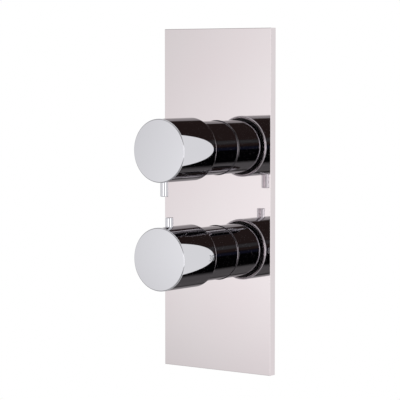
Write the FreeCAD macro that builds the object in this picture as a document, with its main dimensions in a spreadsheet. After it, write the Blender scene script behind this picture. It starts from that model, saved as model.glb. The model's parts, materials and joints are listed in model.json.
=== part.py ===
import FreeCAD, Part
import math
import os
import re

import Sketcher
from FreeCAD import Placement, Rotation, Vector

# Concealed thermostatic shower valve with two handles on one cover plate.
# The lower handle sets the temperature and the upper one stops the water or sends it
# to one of two outlets. The brass body with its two cartridges sits inside the wall.
#
# Frame: X to the right, Y into the wall, Z up. The origin is the middle of the cover
# plate's back, on the face of the finished wall.


# ---------------------------------------------------------------------------------
# Driving sizes, in millimetres and degrees
# ---------------------------------------------------------------------------------

SIZES = [
    # Clearances that are used all over the valve
    ("fit_gap", 0.05, "radial clearance of turning, sliding and screwed fits"),
    ("seat_gap", 0.3, "space left beside pieces that do not touch"),
    ("edge_bevel", 0.4, "bevel on turned edges"),
    ("coil_end", 0.6, "spring's end to the middle of its wire, in wire thicknesses"),
    # Cover plate
    ("plate_height", 300, "cover plate, top to bottom"),
    ("plate_width", 115, "cover plate, side to side"),
    ("plate_depth", 7.5, "plate's front face to the wall"),
    ("plate_sheet", 2.5, "thickness of the plate's front"),
    ("plate_rim", 2.5, "thickness of the rim round the plate's back"),
    ("plate_hole_gap", 0.35, "radial gap round each sleeve"),
    ("gasket_width", 9, "foam gasket, seen from behind"),
    ("plate_seal_width", 2.2, "rubber ring that grips the sleeve, radially"),
    ("plate_seal_length", 2.6, "the same ring, along the sleeve"),
    # Handles
    ("handle_pitch", 92, "between the two handle axes"),
    ("knob_diameter", 54.2, "turned outside of each knob"),
    ("knob_length", 46, "front disc to rear rim"),
    ("knob_stand_off", 36, "plate's front face to the knob's rear rim"),
    ("knob_rim_bevel", 0.6, "bevel round a knob's front"),
    ("knob_rear_bevel", 1.2, "bevel round a knob's rear rim"),
    ("knob_face", 5, "thickness of a knob's front"),
    ("knob_thick_wall", 6.6, "wall of a knob's front part, which holds pin or button"),
    ("knob_bore_depth", 12.5, "depth of the wide rear bore that takes the sleeve"),
    ("knob_gap", 0.45, "radial gap between knob and sleeve"),
    ("hub_wall", 2, "wall of the hub inside a knob"),
    ("hub_length", 22.5, "length of that hub"),
    ("glide_length", 3, "nylon glide ring, along the axis"),
    ("glide_depth", 1.5, "glide ring's seat, wider than the bore, radially"),
    ("glide_set_back", 1.5, "glide ring to the knob's rear rim"),
    ("sleeve_diameter", 47, "fixed sleeve between knob and plate"),
    ("sleeve_wall", 2, "wall of the sleeve"),
    ("sleeve_overlap", 6, "how far the sleeve reaches into the knob"),
    # Lever pin of the upper knob
    ("pin_diameter", 6, "lever pin"),
    ("pin_reach", 11.8, "lever pin, out of the knob"),
    ("pin_seat_depth", 0.6, "spot face under the pin"),
    ("pin_set_back", 7.6, "pin's axis behind the knob's front"),
    ("pin_thread", 4, "threaded tail of the pin, diameter"),
    ("pin_thread_length", 5, "threaded tail of the pin, length"),
    # Grub screw of both knobs
    ("grub_diameter", 5, "grub screw"),
    ("grub_length", 18, "grub screw, end to end"),
    ("grub_point", 1.2, "length of its cone point"),
    ("grub_socket", 2.5, "hexagon socket across flats"),
    ("grub_socket_depth", 3, "depth of that socket"),
    ("clamp_set_back", 14.5, "grub screw's and stop button's axes behind the knob's front"),
    # Stop button of the lower knob
    ("button_diameter", 6, "stop button"),
    ("button_reach", 7.8, "stop button, out of the knob"),
    ("button_travel", 3, "how far the button is pressed in"),
    ("button_sink", 0.8, "how deep the released button sits in its well"),
    ("button_well_gap", 0.5, "radial gap round the button, seen as a dark ring"),
    ("button_tail", 4, "diameter of the button's tail"),
    ("button_tail_gap", 0.1, "radial gap round that tail"),
    ("button_tail_end", 2.6, "tail below its clip"),
    ("clip_diameter", 6, "clip on the tail"),
    ("clip_thickness", 0.8, "thickness of the clip"),
    ("button_spring_wire", 0.5, "wire of the button's spring"),
    ("button_spring_turns", 4, "turns of the button's spring"),
    # Temperature stop ring on the lower sleeve
    ("stop_ring_wall", 4, "wall of the stop ring"),
    ("stop_ring_flange", 1.5, "flange in front of the sleeve"),
    ("stop_ring_spigot", 11.5, "part of the ring inside the sleeve"),
    ("stop_lug_height", 1.2, "height of the stop lug"),
    ("stop_lug_width", 4, "width of the stop lug"),
    ("stop_lug_inset", 1.6, "outside of the ring to the top of the lug"),
    # Handle adaptors
    ("adaptor_diameter", 16, "extension between spindle and knob"),
    ("adaptor_bore", 8.4, "bore for the screw driver"),
    ("adaptor_web", 6, "web under the screw's head"),
    ("adaptor_end_gap", 0.5, "adaptor to the inside of the knob's front"),
    ("spline_teeth", 12, "teeth of the spindle's spline"),
    ("spline_diameter", 9, "over the teeth"),
    ("spline_depth", 0.7, "depth of the teeth"),
    ("spline_length", 12, "length of the spline"),
    ("screw_diameter", 4, "adaptor screw"),
    ("screw_length", 15, "shank of the adaptor screw"),
    ("screw_head", 7, "head of the adaptor screw"),
    ("screw_head_length", 4, "length of that head"),
    ("screw_socket", 3, "hexagon socket across flats"),
    ("screw_tip_gap", 1, "empty thread beyond the screw's end"),
    # Spindles
    ("spindle_diameter", 9.9, "spindle in the cartridge's neck"),
    ("spindle_bare_length", 6, "spindle between adaptor and neck"),
    ("spindle_flange", 17, "flange that keeps the spindle in"),
    ("spindle_flange_length", 2.5, "thickness of that flange"),
    ("spindle_seal_section", 1.2, "O-ring on the spindle"),
    ("spindle_seal_pitch", 4, "between the two O-rings"),
    ("spindle_seal_depth", 6, "first O-ring behind the neck's end"),
    # Cast body
    ("barrel_recess", 14, "wall face to the front of the barrels"),
    ("barrel_diameter", 48, "outside of a barrel"),
    ("body_back", 86, "wall face to the back of the body"),
    ("body_bevel", 1.5, "bevel on the casting's rims"),
    ("cartridge_diameter", 35, "bore that takes a cartridge"),
    ("cartridge_gap", 0.1, "radial gap round a cartridge"),
    ("nut_thread", 40, "thread of the retaining nut"),
    ("diverter_bore_length", 32, "upper bore behind the nut"),
    ("thermo_bore_length", 52, "lower bore behind the nut"),
    ("bridge_width", 28, "casting between the barrels"),
    ("bridge_depth", 26, "the same, front to back"),
    ("inlet_depth", 55, "wall face to the inlets' axis"),
    ("outlet_depth", 70, "wall face to the outlets' and the waterway's axis"),
    ("port_boss", 28, "outside of a port boss"),
    ("port_boss_reach", 38, "handle axis to the end of a port boss"),
    ("port_thread", 21, "thread of a port boss"),
    ("port_thread_length", 14, "depth of that thread"),
    ("inlet_passage", 5.5, "drilling from an inlet to its seat"),
    ("annulus_depth", 2, "groove round the cartridge that feeds a seat"),
    ("annulus_length", 6, "length of that groove"),
    ("waterway", 9, "mixed water's way up to the diverter"),
    ("outlet_passage", 6, "drilling from the diverter to an outlet"),
    ("passage_overrun", 1.2, "how far crossing passages run past each other"),
    ("plug_boss", 20, "boss of the waterway's plug"),
    ("plug_boss_reach", 30, "lower handle axis to the end of that boss"),
    ("plug_thread", 13, "thread of the plug"),
    ("plug_thread_length", 8, "length of that thread"),
    ("plug_head", 18, "head of the plug"),
    ("plug_head_length", 4, "length of that head"),
    ("plug_socket", 6, "hexagon socket across flats"),
    ("washer_thickness", 1.5, "washer under plug and connectors"),
    # Retaining nuts
    ("nut_thread_length", 10, "thread inside the barrel"),
    ("nut_collar_length", 12, "collar that carries the sleeve"),
    ("nut_collar_gap", 0.15, "radial gap between collar and sleeve"),
    ("nut_hexagon", 32, "hexagon across flats"),
    ("nut_hexagon_length", 4, "length of the hexagon"),
    ("nut_neck_gap", 0.4, "radial gap round the cartridge's neck"),
    ("sleeve_seal_section", 1.8, "O-ring between nut and sleeve"),
    # Connectors on the four ports
    ("connector_reach", 56, "handle axis to the open end of a connector"),
    ("connector_thread", 18.6, "female thread's inner diameter"),
    ("connector_thread_length", 13, "depth of the female thread"),
    ("connector_diameter", 26.6, "round end of a connector"),
    ("connector_hexagon", 27, "hexagon across flats"),
    ("connector_hexagon_length", 7, "length of the hexagon"),
    ("connector_bore", 15.2, "bore behind the female thread"),
    ("connector_end_gap", 1, "connector's end to the thread's floor"),
    # Check valves and filters of the inlets
    ("check_length", 14, "check valve's body"),
    ("check_wall", 1.5, "wall of that body"),
    ("check_seat_length", 4, "seat at its outer end"),
    ("check_seat_bore", 8, "opening of the seat"),
    ("check_spider", 2.5, "thickness of the spider that guides the stem"),
    ("check_holes", 4, "holes in the spider"),
    ("check_hole", 2.8, "diameter of those holes"),
    ("poppet_head", 10.4, "poppet's head"),
    ("poppet_head_length", 1.6, "thickness of that head"),
    ("poppet_stem", 3, "poppet's stem"),
    ("poppet_travel", 2, "how far the poppet opens"),
    ("check_spring_wire", 0.5, "wire of the check valve's spring"),
    ("check_spring_turns", 3, "turns of that spring"),
    ("filter_thickness", 1.6, "rim of the inlet filter"),
    ("filter_mesh", 0.6, "perforated disc of the filter"),
    ("filter_rim", 1.2, "width of the filter's rim"),
    ("filter_holes", 6, "holes in one ring of the filter"),
    ("filter_hole", 2.6, "diameter of those holes"),
    # Cartridge shells
    ("neck_diameter", 18.8, "neck of a cartridge"),
    ("neck_length", 32, "neck in front of the shoulder"),
    ("shell_front", 4, "front wall of a cartridge"),
    ("body_seal_section", 1.8, "O-ring round a cartridge"),
    ("body_seal_groove", 2.2, "groove of that O-ring"),
    # Diverter cartridge
    ("diverter_shell_wall", 2.9, "wall of the diverter's shell"),
    ("diverter_base", 4, "base plate with the ports"),
    ("disc_thickness", 4, "each ceramic disc"),
    ("disc_gap", 0.5, "radial gap round the fixed disc"),
    ("moving_disc_gap", 1.1, "radial gap round the moving disc"),
    ("disc_film", 0.05, "water film between the discs"),
    ("port_circle", 16, "circle of the three ports"),
    ("disc_port", 7.2, "diameter of a port"),
    ("disc_slot_angle", 160, "arc of the moving disc's slot"),
    ("disc_slot_depth", 2.5, "depth of that slot"),
    ("base_seal_width", 1.3, "seal round a port, radially"),
    ("base_seal_length", 1, "seal round a port, along the axis"),
    ("carrier_length", 10, "carrier between spindle and moving disc"),
    ("carrier_lug", 2, "height of the carrier's lugs"),
    ("carrier_lug_width", 4, "width of those lugs"),
    ("carrier_lug_depth", 2.5, "lugs, radially"),
    ("drive_hexagon", 8, "spindle's hexagon across flats"),
    ("drive_length", 8, "length of that hexagon"),
    # Thermostatic cartridge
    ("seat_spacing", 9, "cold seat to hot seat"),
    ("window_length", 3, "inlet windows, along the axis"),
    ("window_width", 12, "inlet windows, round the shell"),
    ("window_count", 4, "windows in each ring"),
    ("thermo_shell_length", 41.5, "shell behind the shoulder"),
    ("shuttle_diameter", 24, "bore that the shuttle slides in"),
    ("shuttle_wall", 1.75, "wall of the shuttle"),
    ("shuttle_web", 1.8, "web that the wax element pushes"),
    ("shuttle_holes", 8, "holes in that web"),
    ("shuttle_hole", 2.4, "diameter of those holes"),
    ("regulating_bore", 20.8, "bore that the regulating nut slides in"),
    ("key_width", 3, "keys of the regulating nut"),
    ("key_height", 1.2, "height of those keys"),
    ("key_length", 8, "length of those keys"),
    ("screw_lead", 5, "regulating screw's travel in one turn"),
    ("hot_angle", 75, "handle from 38 degrees Celsius to the hot end"),
    ("cold_angle", 165, "handle from 38 degrees Celsius to the cold end"),
    ("regulating_thread", 8, "thread between spindle and regulating nut"),
    ("regulating_thread_length", 8.8, "thread on the spindle"),
    ("regulating_web", 3.5, "front wall of the regulating nut"),
    ("regulating_length", 13.4, "regulating nut, front to back"),
    ("regulating_skirt", 2, "wall of the nut's skirt"),
    ("overtravel_length", 5.4, "overtravel spring"),
    ("overtravel_wire", 1.1, "wire of the overtravel spring"),
    ("overtravel_turns", 3, "turns of the overtravel spring"),
    ("thrust_cap", 2.2, "cap between that spring and the wax element"),
    ("thrust_cap_gap", 0.1, "radial gap round that cap"),
    ("snap_ring", 0.9, "thickness of the snap ring behind the cap"),
    ("snap_ring_width", 1.5, "snap ring, radially"),
    ("piston_diameter", 3.2, "wax element's piston"),
    ("guide_diameter", 7, "wax element's guide"),
    ("guide_length", 4, "length of that guide"),
    ("wax_flange", 12, "wax element's flange"),
    ("wax_flange_length", 2.5, "thickness of that flange"),
    ("wax_bulb", 8.8, "bulb that holds the wax"),
    ("wax_bulb_length", 15.5, "bulb behind the flange"),
    ("wax_bulb_bevel", 1.5, "bevel at the bulb's end"),
    ("cage_step", 1.5, "end cage's outside over the shuttle's bore, radially"),
    ("cage_seat_wall", 3.1, "wall of the end cage"),
    ("cage_length", 14.5, "end cage, front to back"),
    ("cage_end", 2, "end wall of the cage"),
    ("cage_slots", 6, "slots in the cage"),
    ("cage_slot", 6, "width of those slots"),
    ("cage_hole", 6, "hole in the end wall"),
    ("return_wire", 1.2, "wire of the return spring"),
    ("return_turns", 4, "turns of the return spring"),
    ("return_diameter", 12.4, "middle of the wire, across the spring"),
    # Bracket behind the body
    ("bracket_width", 100, "sheet steel bracket, side to side"),
    ("bracket_height", 200, "the same, top to bottom"),
    ("bracket_sheet", 2, "its thickness"),
    ("bracket_corner", 8, "its corner radius"),
    ("bracket_hole", 5.5, "holes for the wall screws"),
    ("bracket_hole_width", 80, "between those holes, side to side"),
    ("bracket_hole_height", 180, "between those holes, top to bottom"),
    ("body_screw", 5, "screws that hold the bracket to the body"),
    ("body_screw_spread", 30, "between the two screws of a barrel"),
    ("body_screw_length", 7, "shank of those screws"),
    ("body_screw_head", 9, "head of those screws"),
    ("body_screw_head_length", 3, "length of that head"),
    ("body_screw_socket", 3, "hexagon socket across flats"),
]

VALUES = {name: value for name, value, meaning in SIZES}

# Places and radii that follow from the driving sizes. Each line may use those above it.
PLACES = {
    "knob_radius": "knob_diameter / 2",
    "knob_rear": "-plate_depth - knob_stand_off",
    "knob_front": "knob_rear - knob_length",
    "knob_inside": "knob_front + knob_face",
    "knob_step": "knob_rear - knob_bore_depth",
    "sleeve_radius": "sleeve_diameter / 2",
    "sleeve_bore": "sleeve_radius - sleeve_wall",
    "sleeve_front": "knob_rear - sleeve_overlap",
    "knob_bore": "sleeve_radius + knob_gap",
    "knob_narrow": "knob_radius - knob_thick_wall",
    "adaptor_radius": "adaptor_diameter / 2",
    "hub_bore": "adaptor_radius + fit_gap",
    "hub_radius": "hub_bore + hub_wall",
    "hub_rear": "knob_inside + hub_length",
    "pin_place": "knob_front + pin_set_back",
    "clamp_place": "knob_front + clamp_set_back",
    # Along the axis of both cartridges
    "shoulder": "barrel_recess + nut_thread_length",
    "nut_front": "barrel_recess - nut_collar_length",
    "nut_seal": "barrel_recess - nut_collar_length / 2",
    "neck_front": "shoulder - neck_length",
    "spline_rear": "neck_front - spindle_bare_length",
    "spindle_front": "spline_rear - spline_length",
    "web_front": "spindle_front - adaptor_web",
    "adaptor_front": "knob_inside + adaptor_end_gap",
    "shell_inside": "shoulder + shell_front",
    "flange_front": "shell_inside + seat_gap",
    "flange_rear": "flange_front + spindle_flange_length",
    "spindle_radius": "spindle_diameter / 2",
    "neck_bore": "spindle_radius + 2 * fit_gap",
    "bore_radius": "cartridge_diameter / 2",
    "shell_radius": "bore_radius - cartridge_gap",
    "collar_radius": "sleeve_bore - nut_collar_gap",
    # Stop button, measured outwards from the lower handle's axis
    "button_bottom": "knob_radius - button_sink",
    "button_top": "knob_radius + button_reach",
    "well_floor": "button_bottom - button_travel - seat_gap",
    "clip_top": "knob_narrow - seat_gap - clip_diameter ^ 2 / 8 / knob_narrow",
    "clip_bottom": "clip_top - clip_thickness",
    "tail_end": "clip_bottom - button_tail_end",
    "lug_front": "clamp_place + clip_diameter / 2 + seat_gap",
    "stop_ring_front": "lug_front + stop_lug_height",
    "stop_ring_radius": "knob_narrow - 2 * seat_gap",
    # Diverter
    "diverter_floor": "shoulder + diverter_bore_length",
    "base_front": "diverter_floor - diverter_base",
    "fixed_disc_front": "base_front - disc_thickness",
    "moving_disc_rear": "fixed_disc_front - disc_film",
    "moving_disc_front": "moving_disc_rear - disc_thickness",
    "carrier_rear": "moving_disc_front - disc_film",
    "carrier_front": "carrier_rear - carrier_length",
    "diverter_bore": "shell_radius - diverter_shell_wall",
    "moving_disc_radius": "diverter_bore - moving_disc_gap",
    # Thermostat
    "thermo_floor": "shoulder + thermo_bore_length",
    "cold_seat": "inlet_depth - seat_spacing / 2",
    "hot_seat": "inlet_depth + seat_spacing / 2",
    "hot_travel": "screw_lead * hot_angle / 360",
    "cold_travel": "screw_lead * cold_angle / 360",
    "shuttle_front": "cold_seat + hot_travel + seat_gap / 2",
    "shuttle_rear": "hot_seat - cold_travel - seat_gap / 2",
    "shuttle_bore": "shuttle_diameter / 2",
    "web_rear": "(shuttle_front + shuttle_rear + shuttle_web) / 2",
    "web_face": "web_rear - shuttle_web",
    "nut_rest": "flange_rear + hot_travel + seat_gap",
    "stem_end": "flange_rear + regulating_thread_length",
    "overtravel_front": "nut_rest + regulating_web",
    "overtravel_rear": "overtravel_front + overtravel_length",
    "cap_rear": "overtravel_rear + thrust_cap",
    "skirt_bore": "regulating_bore / 2 - fit_gap - regulating_skirt",
    "thermo_shell_end": "shoulder + thermo_shell_length",
    "cage_rear": "hot_seat + cage_length",
    "cage_radius": "shuttle_bore + cage_step",
    # Ports, measured outwards from a handle axis
    "connector_inner": "port_boss_reach - port_thread_length + connector_end_gap",
    "hexagon_inner": "port_boss_reach + washer_thickness",
    "hexagon_outer": "hexagon_inner + connector_hexagon_length",
    "thread_floor": "connector_reach - connector_thread_length",
    "check_radius": "connector_bore / 2 - fit_gap",
    "check_inner": "connector_inner + seat_gap",
    "check_outer": "check_inner + check_length",
    "seat_inner": "check_outer - check_seat_length",
    "spider_outer": "check_inner + check_spider",
    "poppet_back": "seat_inner - fit_gap - poppet_head_length",
    "poppet_tip": "port_boss_reach - port_thread_length + poppet_travel + seat_gap",
    "outlet_offset": "port_circle / 4",
    "outlet_side": "port_circle / 2 * cos(30)",
}

doc = FreeCAD.newDocument("thermostatic_shower_valve")
sheet = doc.addObject("Spreadsheet::Sheet", "Sizes")
for row, (name, value, meaning) in enumerate(SIZES, start=1):
    sheet.set(f"A{row}", name)
    sheet.set(f"B{row}", str(value))
    sheet.set(f"C{row}", meaning)
    sheet.setAlias(f"B{row}", name)
doc.recompute()


# ---------------------------------------------------------------------------------
# Building blocks
# ---------------------------------------------------------------------------------

NODES = []


def bound(formula):
    """Write a formula on size and place names as references to the sheet."""
    def reference(match):
        word = match.group()
        if word in PLACES:
            return f"({bound(PLACES[word])})"
        if word in VALUES:
            return f"Sizes.{word}"
        return word
    return re.sub(r"[a-z_]+", reference, str(formula))


def node(thing, label):
    """Give a finished sub-part its name and put it on the list of nodes."""
    thing.Label = label
    NODES.append(thing)
    return thing


def place(thing, at=(0, 0, 0), axis=(0, 0, 1), angle=0):
    """Put a sub-part at bound coordinates, turned about its own origin."""
    thing.Placement = Placement(Vector(), Rotation(Vector(*axis), angle))
    for letter, formula in zip("xyz", at):
        thing.setExpression(f".Placement.Base.{letter}", bound(formula))
    return thing


def new_body(name):
    return doc.addObject("PartDesign::Body", name)


def sketch(body, name, plane="XY_Plane", offset=0):
    """Start a sketch on one of the body's own origin planes, or parallel to it."""
    drawing = body.newObject("Sketcher::SketchObject", name)
    support = next(part for part in body.Origin.OriginFeatures if part.Role == plane)
    drawing.AttachmentSupport = (support, [""])
    drawing.MapMode = "FlatFace"
    drawing.setExpression(".AttachmentOffset.Base.z", bound(offset))
    return drawing


def pin_point(drawing, geometry, point, x, y, start):
    """Hold a sketch point at bound coordinates from the sketch's origin."""
    for kind, formula, value in (("DistanceX", x, start.x), ("DistanceY", y, start.y)):
        index = drawing.addConstraint(Sketcher.Constraint(kind, -1, 1, geometry, point, value))
        drawing.setExpression(f"Constraints[{index}]", bound(formula))


def outline(drawing, corners):
    """Draw a closed outline of straight lines through bound corners."""
    count = len(corners)
    turns = [2 * math.pi * index / count for index in range(count)]
    starts = [Vector(50 + 40 * math.cos(turn), 40 * math.sin(turn), 0) for turn in turns]
    first = drawing.GeometryCount
    for index in range(count):
        drawing.addGeometry(Part.LineSegment(starts[index], starts[(index + 1) % count]), False)
    for index, (x, y) in enumerate(corners):
        following = first + (index + 1) % count
        drawing.addConstraint(Sketcher.Constraint("Coincident", first + index, 2, following, 1))
        pin_point(drawing, first + index, 1, x, y, starts[index])


def rectangle(drawing, left, right, low, high):
    outline(drawing, [(left, low), (right, low), (right, high), (left, high)])


def circle(drawing, radius, x=0, y=0):
    """Draw a circle with a bound radius and centre."""
    start = Vector(5, 5, 0)
    index = drawing.addGeometry(Part.Circle(start, Vector(0, 0, 1), 3), False)
    pin_point(drawing, index, 3, x, y, start)
    size = drawing.addConstraint(Sketcher.Constraint("Radius", index, 3))
    drawing.setExpression(f"Constraints[{size}]", bound(radius))


def around(radius, degrees):
    """Corner of an outline on a circle of bound radius."""
    turn = math.radians(degrees)
    return (f"({radius}) * {math.cos(turn):.8f}", f"({radius}) * {math.sin(turn):.8f}")


def hexagon(drawing, across_flats, turn=0):
    """Draw a hexagon with its first corner at an angle from the sketch's X axis."""
    corner = f"({across_flats}) / {2 * math.cos(math.pi / 6):.8f}"
    outline(drawing, [around(corner, 60 * index + turn) for index in range(6)])


def spline(drawing, gap):
    """Draw the pointed teeth of the spindle's spline, wider all round by a gap."""
    teeth = VALUES["spline_teeth"]
    tip = f"spline_diameter / 2 + {gap}"
    root = f"spline_diameter / 2 - spline_depth + {gap}"
    radii = [tip, root] * teeth
    outline(drawing, [around(radius, 180 * index / teeth) for index, radius in enumerate(radii)])


def feature(body, kind, drawing, name, grows, **settings):
    """Make a feature from a sketch and see that it adds or removes material.

    The cast body keeps its faces as they were cut, since its drillings run into each
    other and merged faces there would not close.
    """
    before = body.Shape.Volume if body.Shape.Solids else 0
    made = body.newObject(f"PartDesign::{kind}", name)
    made.Profile = drawing
    made.Refine = body.Name != "valve_body"
    for key, value in settings.items():
        if isinstance(value, str):
            made.setExpression(key, bound(value))
        else:
            setattr(made, key, value)
    drawing.Visibility = False
    doc.recompute()
    change = body.Shape.Volume - before
    if not (change > 0.001 if grows else change < -0.001):
        raise ValueError(f"{name} changes {body.Name} by {change:.3f} mm3")
    return made


def revolve(body, name, corners, plane="XY_Plane", offset=0):
    """Turn an outline of (radius, place) corners about the sketch's upright axis."""
    drawing = sketch(body, f"{name}_profile", plane, offset)
    outline(drawing, corners)
    return feature(body, "Revolution", drawing, name, True, Angle=360.0,
                   ReferenceAxis=(drawing, ["V_Axis"]))


def groove(body, name, corners, plane="XY_Plane", offset=0, angle="360", middle=False):
    """Cut a turned outline out of a body."""
    drawing = sketch(body, f"{name}_profile", plane, offset)
    outline(drawing, corners)
    return feature(body, "Groove", drawing, name, False, Angle=angle, Midplane=middle,
                   ReferenceAxis=(drawing, ["V_Axis"]))


def pad(body, name, drawing, length, backwards=False, middle=False):
    return feature(body, "Pad", drawing, name, True, Length=length, Reversed=backwards,
                   Midplane=middle)


def pocket(body, name, drawing, length, backwards=False, middle=False):
    return feature(body, "Pocket", drawing, name, False, Length=length, Reversed=backwards,
                   Midplane=middle)


def repeat_round(body, name, original, axis, count):
    """Repeat a feature round one of the body's origin axes."""
    pattern = body.newObject("PartDesign::PolarPattern", name)
    pattern.Originals = [original]
    line = next(part for part in body.Origin.OriginFeatures if part.Role == axis)
    pattern.Axis = (line, [""])
    pattern.Angle = 360
    pattern.setExpression("Occurrences", bound(count))
    body.Tip = pattern
    doc.recompute()
    return pattern


def turned(name, corners, plane="XY_Plane"):
    """A body made in one turning."""
    body = new_body(name)
    revolve(body, f"{name}_turning", corners, plane)
    return body


def ring(name, inner, outer, low, high, plane="XY_Plane"):
    """A plain turned ring."""
    return turned(name, [(inner, low), (outer, low), (outer, high), (inner, high)], plane)


def o_ring(name, middle_radius, section, at):
    """An O-ring round the Y axis, pressed flat against its groove and its bore."""
    corners = []
    for index in range(6):
        across, along = around(f"({section}) / 2 / {math.cos(math.pi / 6):.8f}", 60 * index + 30)
        corners.append((f"{middle_radius} + {across}", along))
    return place(turned(name, corners), at)


def group(label, members):
    """Join identical loose pieces into one node of separate solids."""
    bundle = doc.addObject("Part::Compound", label)
    bundle.Links = members
    return node(bundle, label)


def coil(label, middle_radius, wire, length, turns, at, axis=(1, 0, 0), angle=-90):
    """A helical spring of square wire along its own Z axis, from Z = 0 to its length."""
    rise = f"({length} - 2 * coil_end * {wire})"
    helix = doc.addObject("Part::Helix", f"{label}_line")
    helix.setExpression("Radius", bound(middle_radius))
    helix.setExpression("Height", bound(rise))
    helix.setExpression("Pitch", bound(f"{rise} / {turns}"))
    section = doc.addObject("Part::RegularPolygon", f"{label}_section")
    section.Polygon = 4
    section.setExpression("Circumradius", bound(f"{wire} / 2"))
    section.Placement = Placement(Vector(), Rotation(Vector(1, 0, 0), 90))
    section.setExpression(".Placement.Base.x", bound(middle_radius))
    for line in (helix, section):
        line.setExpression(".Placement.Base.z", bound(f"coil_end * {wire}"))
    sweep = doc.addObject("Part::Sweep", label)
    sweep.Sections = [section]
    sweep.Spine = (helix, ["Edge1"])
    sweep.Solid = True
    sweep.Frenet = True
    place(sweep, at, axis, angle)
    return node(sweep, label)


UPPER = "handle_pitch / 2"
LOWER = "-handle_pitch / 2"


# ---------------------------------------------------------------------------------
# Cover plate, its gasket and the rings that grip the sleeves
# ---------------------------------------------------------------------------------

def cover_plate():
    body = new_body("cover_plate")
    blank = sketch(body, "plate_outline", "XZ_Plane")
    rectangle(blank, "-plate_width / 2", "plate_width / 2", "-plate_height / 2", "plate_height / 2")
    plain = pad(body, "plate_blank", blank, "plate_depth")
    edges = [f"Edge{index}" for index, edge in enumerate(plain.Shape.Edges, start=1)
             if all(vertex.Point.y < -VALUES["plate_depth"] / 2 for vertex in edge.Vertexes)]
    bevel = body.newObject("PartDesign::Chamfer", "plate_front_bevel")
    bevel.Base = (plain, edges)
    bevel.setExpression("Size", bound("edge_bevel"))
    doc.recompute()
    hollow = sketch(body, "tray_outline", "XZ_Plane")
    half_width = "(plate_width / 2 - plate_rim)"
    half_height = "(plate_height / 2 - plate_rim)"
    rectangle(hollow, f"-{half_width}", half_width, f"-{half_height}", half_height)
    pocket(body, "tray", hollow, "plate_depth - plate_sheet", backwards=True)
    holes = sketch(body, "sleeve_holes_outline", "XZ_Plane", "plate_depth")
    for height in (UPPER, LOWER):
        circle(holes, "sleeve_radius + plate_hole_gap", 0, height)
    pocket(body, "sleeve_holes", holes, "plate_depth")
    node(body, "cover_plate")


def plate_gasket():
    body = new_body("plate_gasket")
    drawing = sketch(body, "gasket_outline", "XZ_Plane")
    for inset in ("(plate_rim + seat_gap)", "(plate_rim + seat_gap + gasket_width)"):
        half_width = f"(plate_width / 2 - {inset})"
        half_height = f"(plate_height / 2 - {inset})"
        rectangle(drawing, f"-{half_width}", half_width, f"-{half_height}", half_height)
    pad(body, "gasket_foam", drawing, "plate_depth - plate_sheet")
    node(body, "plate_gasket")


def plate_seals():
    rings = []
    for side, height in (("upper", UPPER), ("lower", LOWER)):
        inner = "sleeve_radius + fit_gap"
        front = "plate_sheet - plate_depth"
        seal = ring(f"{side}_plate_seal", inner, f"{inner} + plate_seal_width",
                    front, f"{front} + plate_seal_length")
        rings.append(place(seal, (0, 0, height)))
    group("plate_seals", rings)


# ---------------------------------------------------------------------------------
# Handles: sleeve, knob, glide ring, adaptor and screws are alike on both
# ---------------------------------------------------------------------------------

def sleeve(side, height):
    body = turned(f"{side}_sleeve", [
        ("sleeve_bore", "sleeve_front"),
        ("sleeve_radius - edge_bevel", "sleeve_front"),
        ("sleeve_radius", "sleeve_front + edge_bevel"),
        ("sleeve_radius", "barrel_recess"),
        ("sleeve_bore", "barrel_recess"),
    ])
    node(place(body, (0, 0, height)), f"{side}_sleeve")


def knob(label, height):
    """Cup-shaped knob with a hub, a seat for the glide ring and the grub screw's hole."""
    glide_front = "(knob_rear - glide_set_back - glide_length)"
    body = turned(label, [
        (0, "knob_front"),
        ("knob_radius - knob_rim_bevel", "knob_front"),
        ("knob_radius", "knob_front + knob_rim_bevel"),
        ("knob_radius", "knob_rear - knob_rear_bevel"),
        ("knob_radius - knob_rear_bevel", "knob_rear"),
        ("knob_bore + glide_depth", "knob_rear"),
        ("knob_bore + glide_depth", glide_front),
        ("knob_bore", glide_front),
        ("knob_bore", "knob_step"),
        ("knob_narrow", "knob_step"),
        ("knob_narrow", "knob_inside"),
        ("hub_radius", "knob_inside"),
        ("hub_radius", "hub_rear"),
        ("hub_bore", "hub_rear"),
        ("hub_bore", "knob_inside"),
        (0, "knob_inside"),
    ])
    grub = sketch(body, f"{label}_grub_outline", "XY_Plane", "-knob_radius")
    circle(grub, "grub_diameter / 2 + fit_gap", 0, "clamp_place")
    pocket(body, f"{label}_grub_hole", grub, "knob_radius - hub_bore + hub_wall / 2",
           backwards=True)
    return node(place(body, (0, 0, height)), label)


def glide_ring(side, height):
    rear = "knob_rear - glide_set_back - fit_gap"
    body = ring(f"{side}_glide_ring", "sleeve_radius + 2 * fit_gap",
                "knob_bore + glide_depth - fit_gap", f"{rear} - glide_length + 2 * fit_gap", rear)
    node(place(body, (0, 0, height)), f"{side}_glide_ring")


def grub_screw(side, height):
    """Grub screw that points from below through the hub onto the adaptor."""
    tip = "(-adaptor_radius - fit_gap)"
    body = turned(f"{side}_grub_screw", [
        (0, tip),
        ("grub_diameter / 2 - grub_point", tip),
        ("grub_diameter / 2", f"{tip} - grub_point"),
        ("grub_diameter / 2", f"{tip} - grub_length + edge_bevel"),
        ("grub_diameter / 2 - edge_bevel", f"{tip} - grub_length"),
        (0, f"{tip} - grub_length"),
    ], "XZ_Plane")
    socket = sketch(body, f"{side}_grub_socket_outline", "XY_Plane", f"{tip} - grub_length")
    hexagon(socket, "grub_socket")
    pocket(body, f"{side}_grub_socket", socket, "grub_socket_depth", backwards=True)
    node(place(body, (0, "clamp_place", height)), f"{side}_grub_screw")


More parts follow.
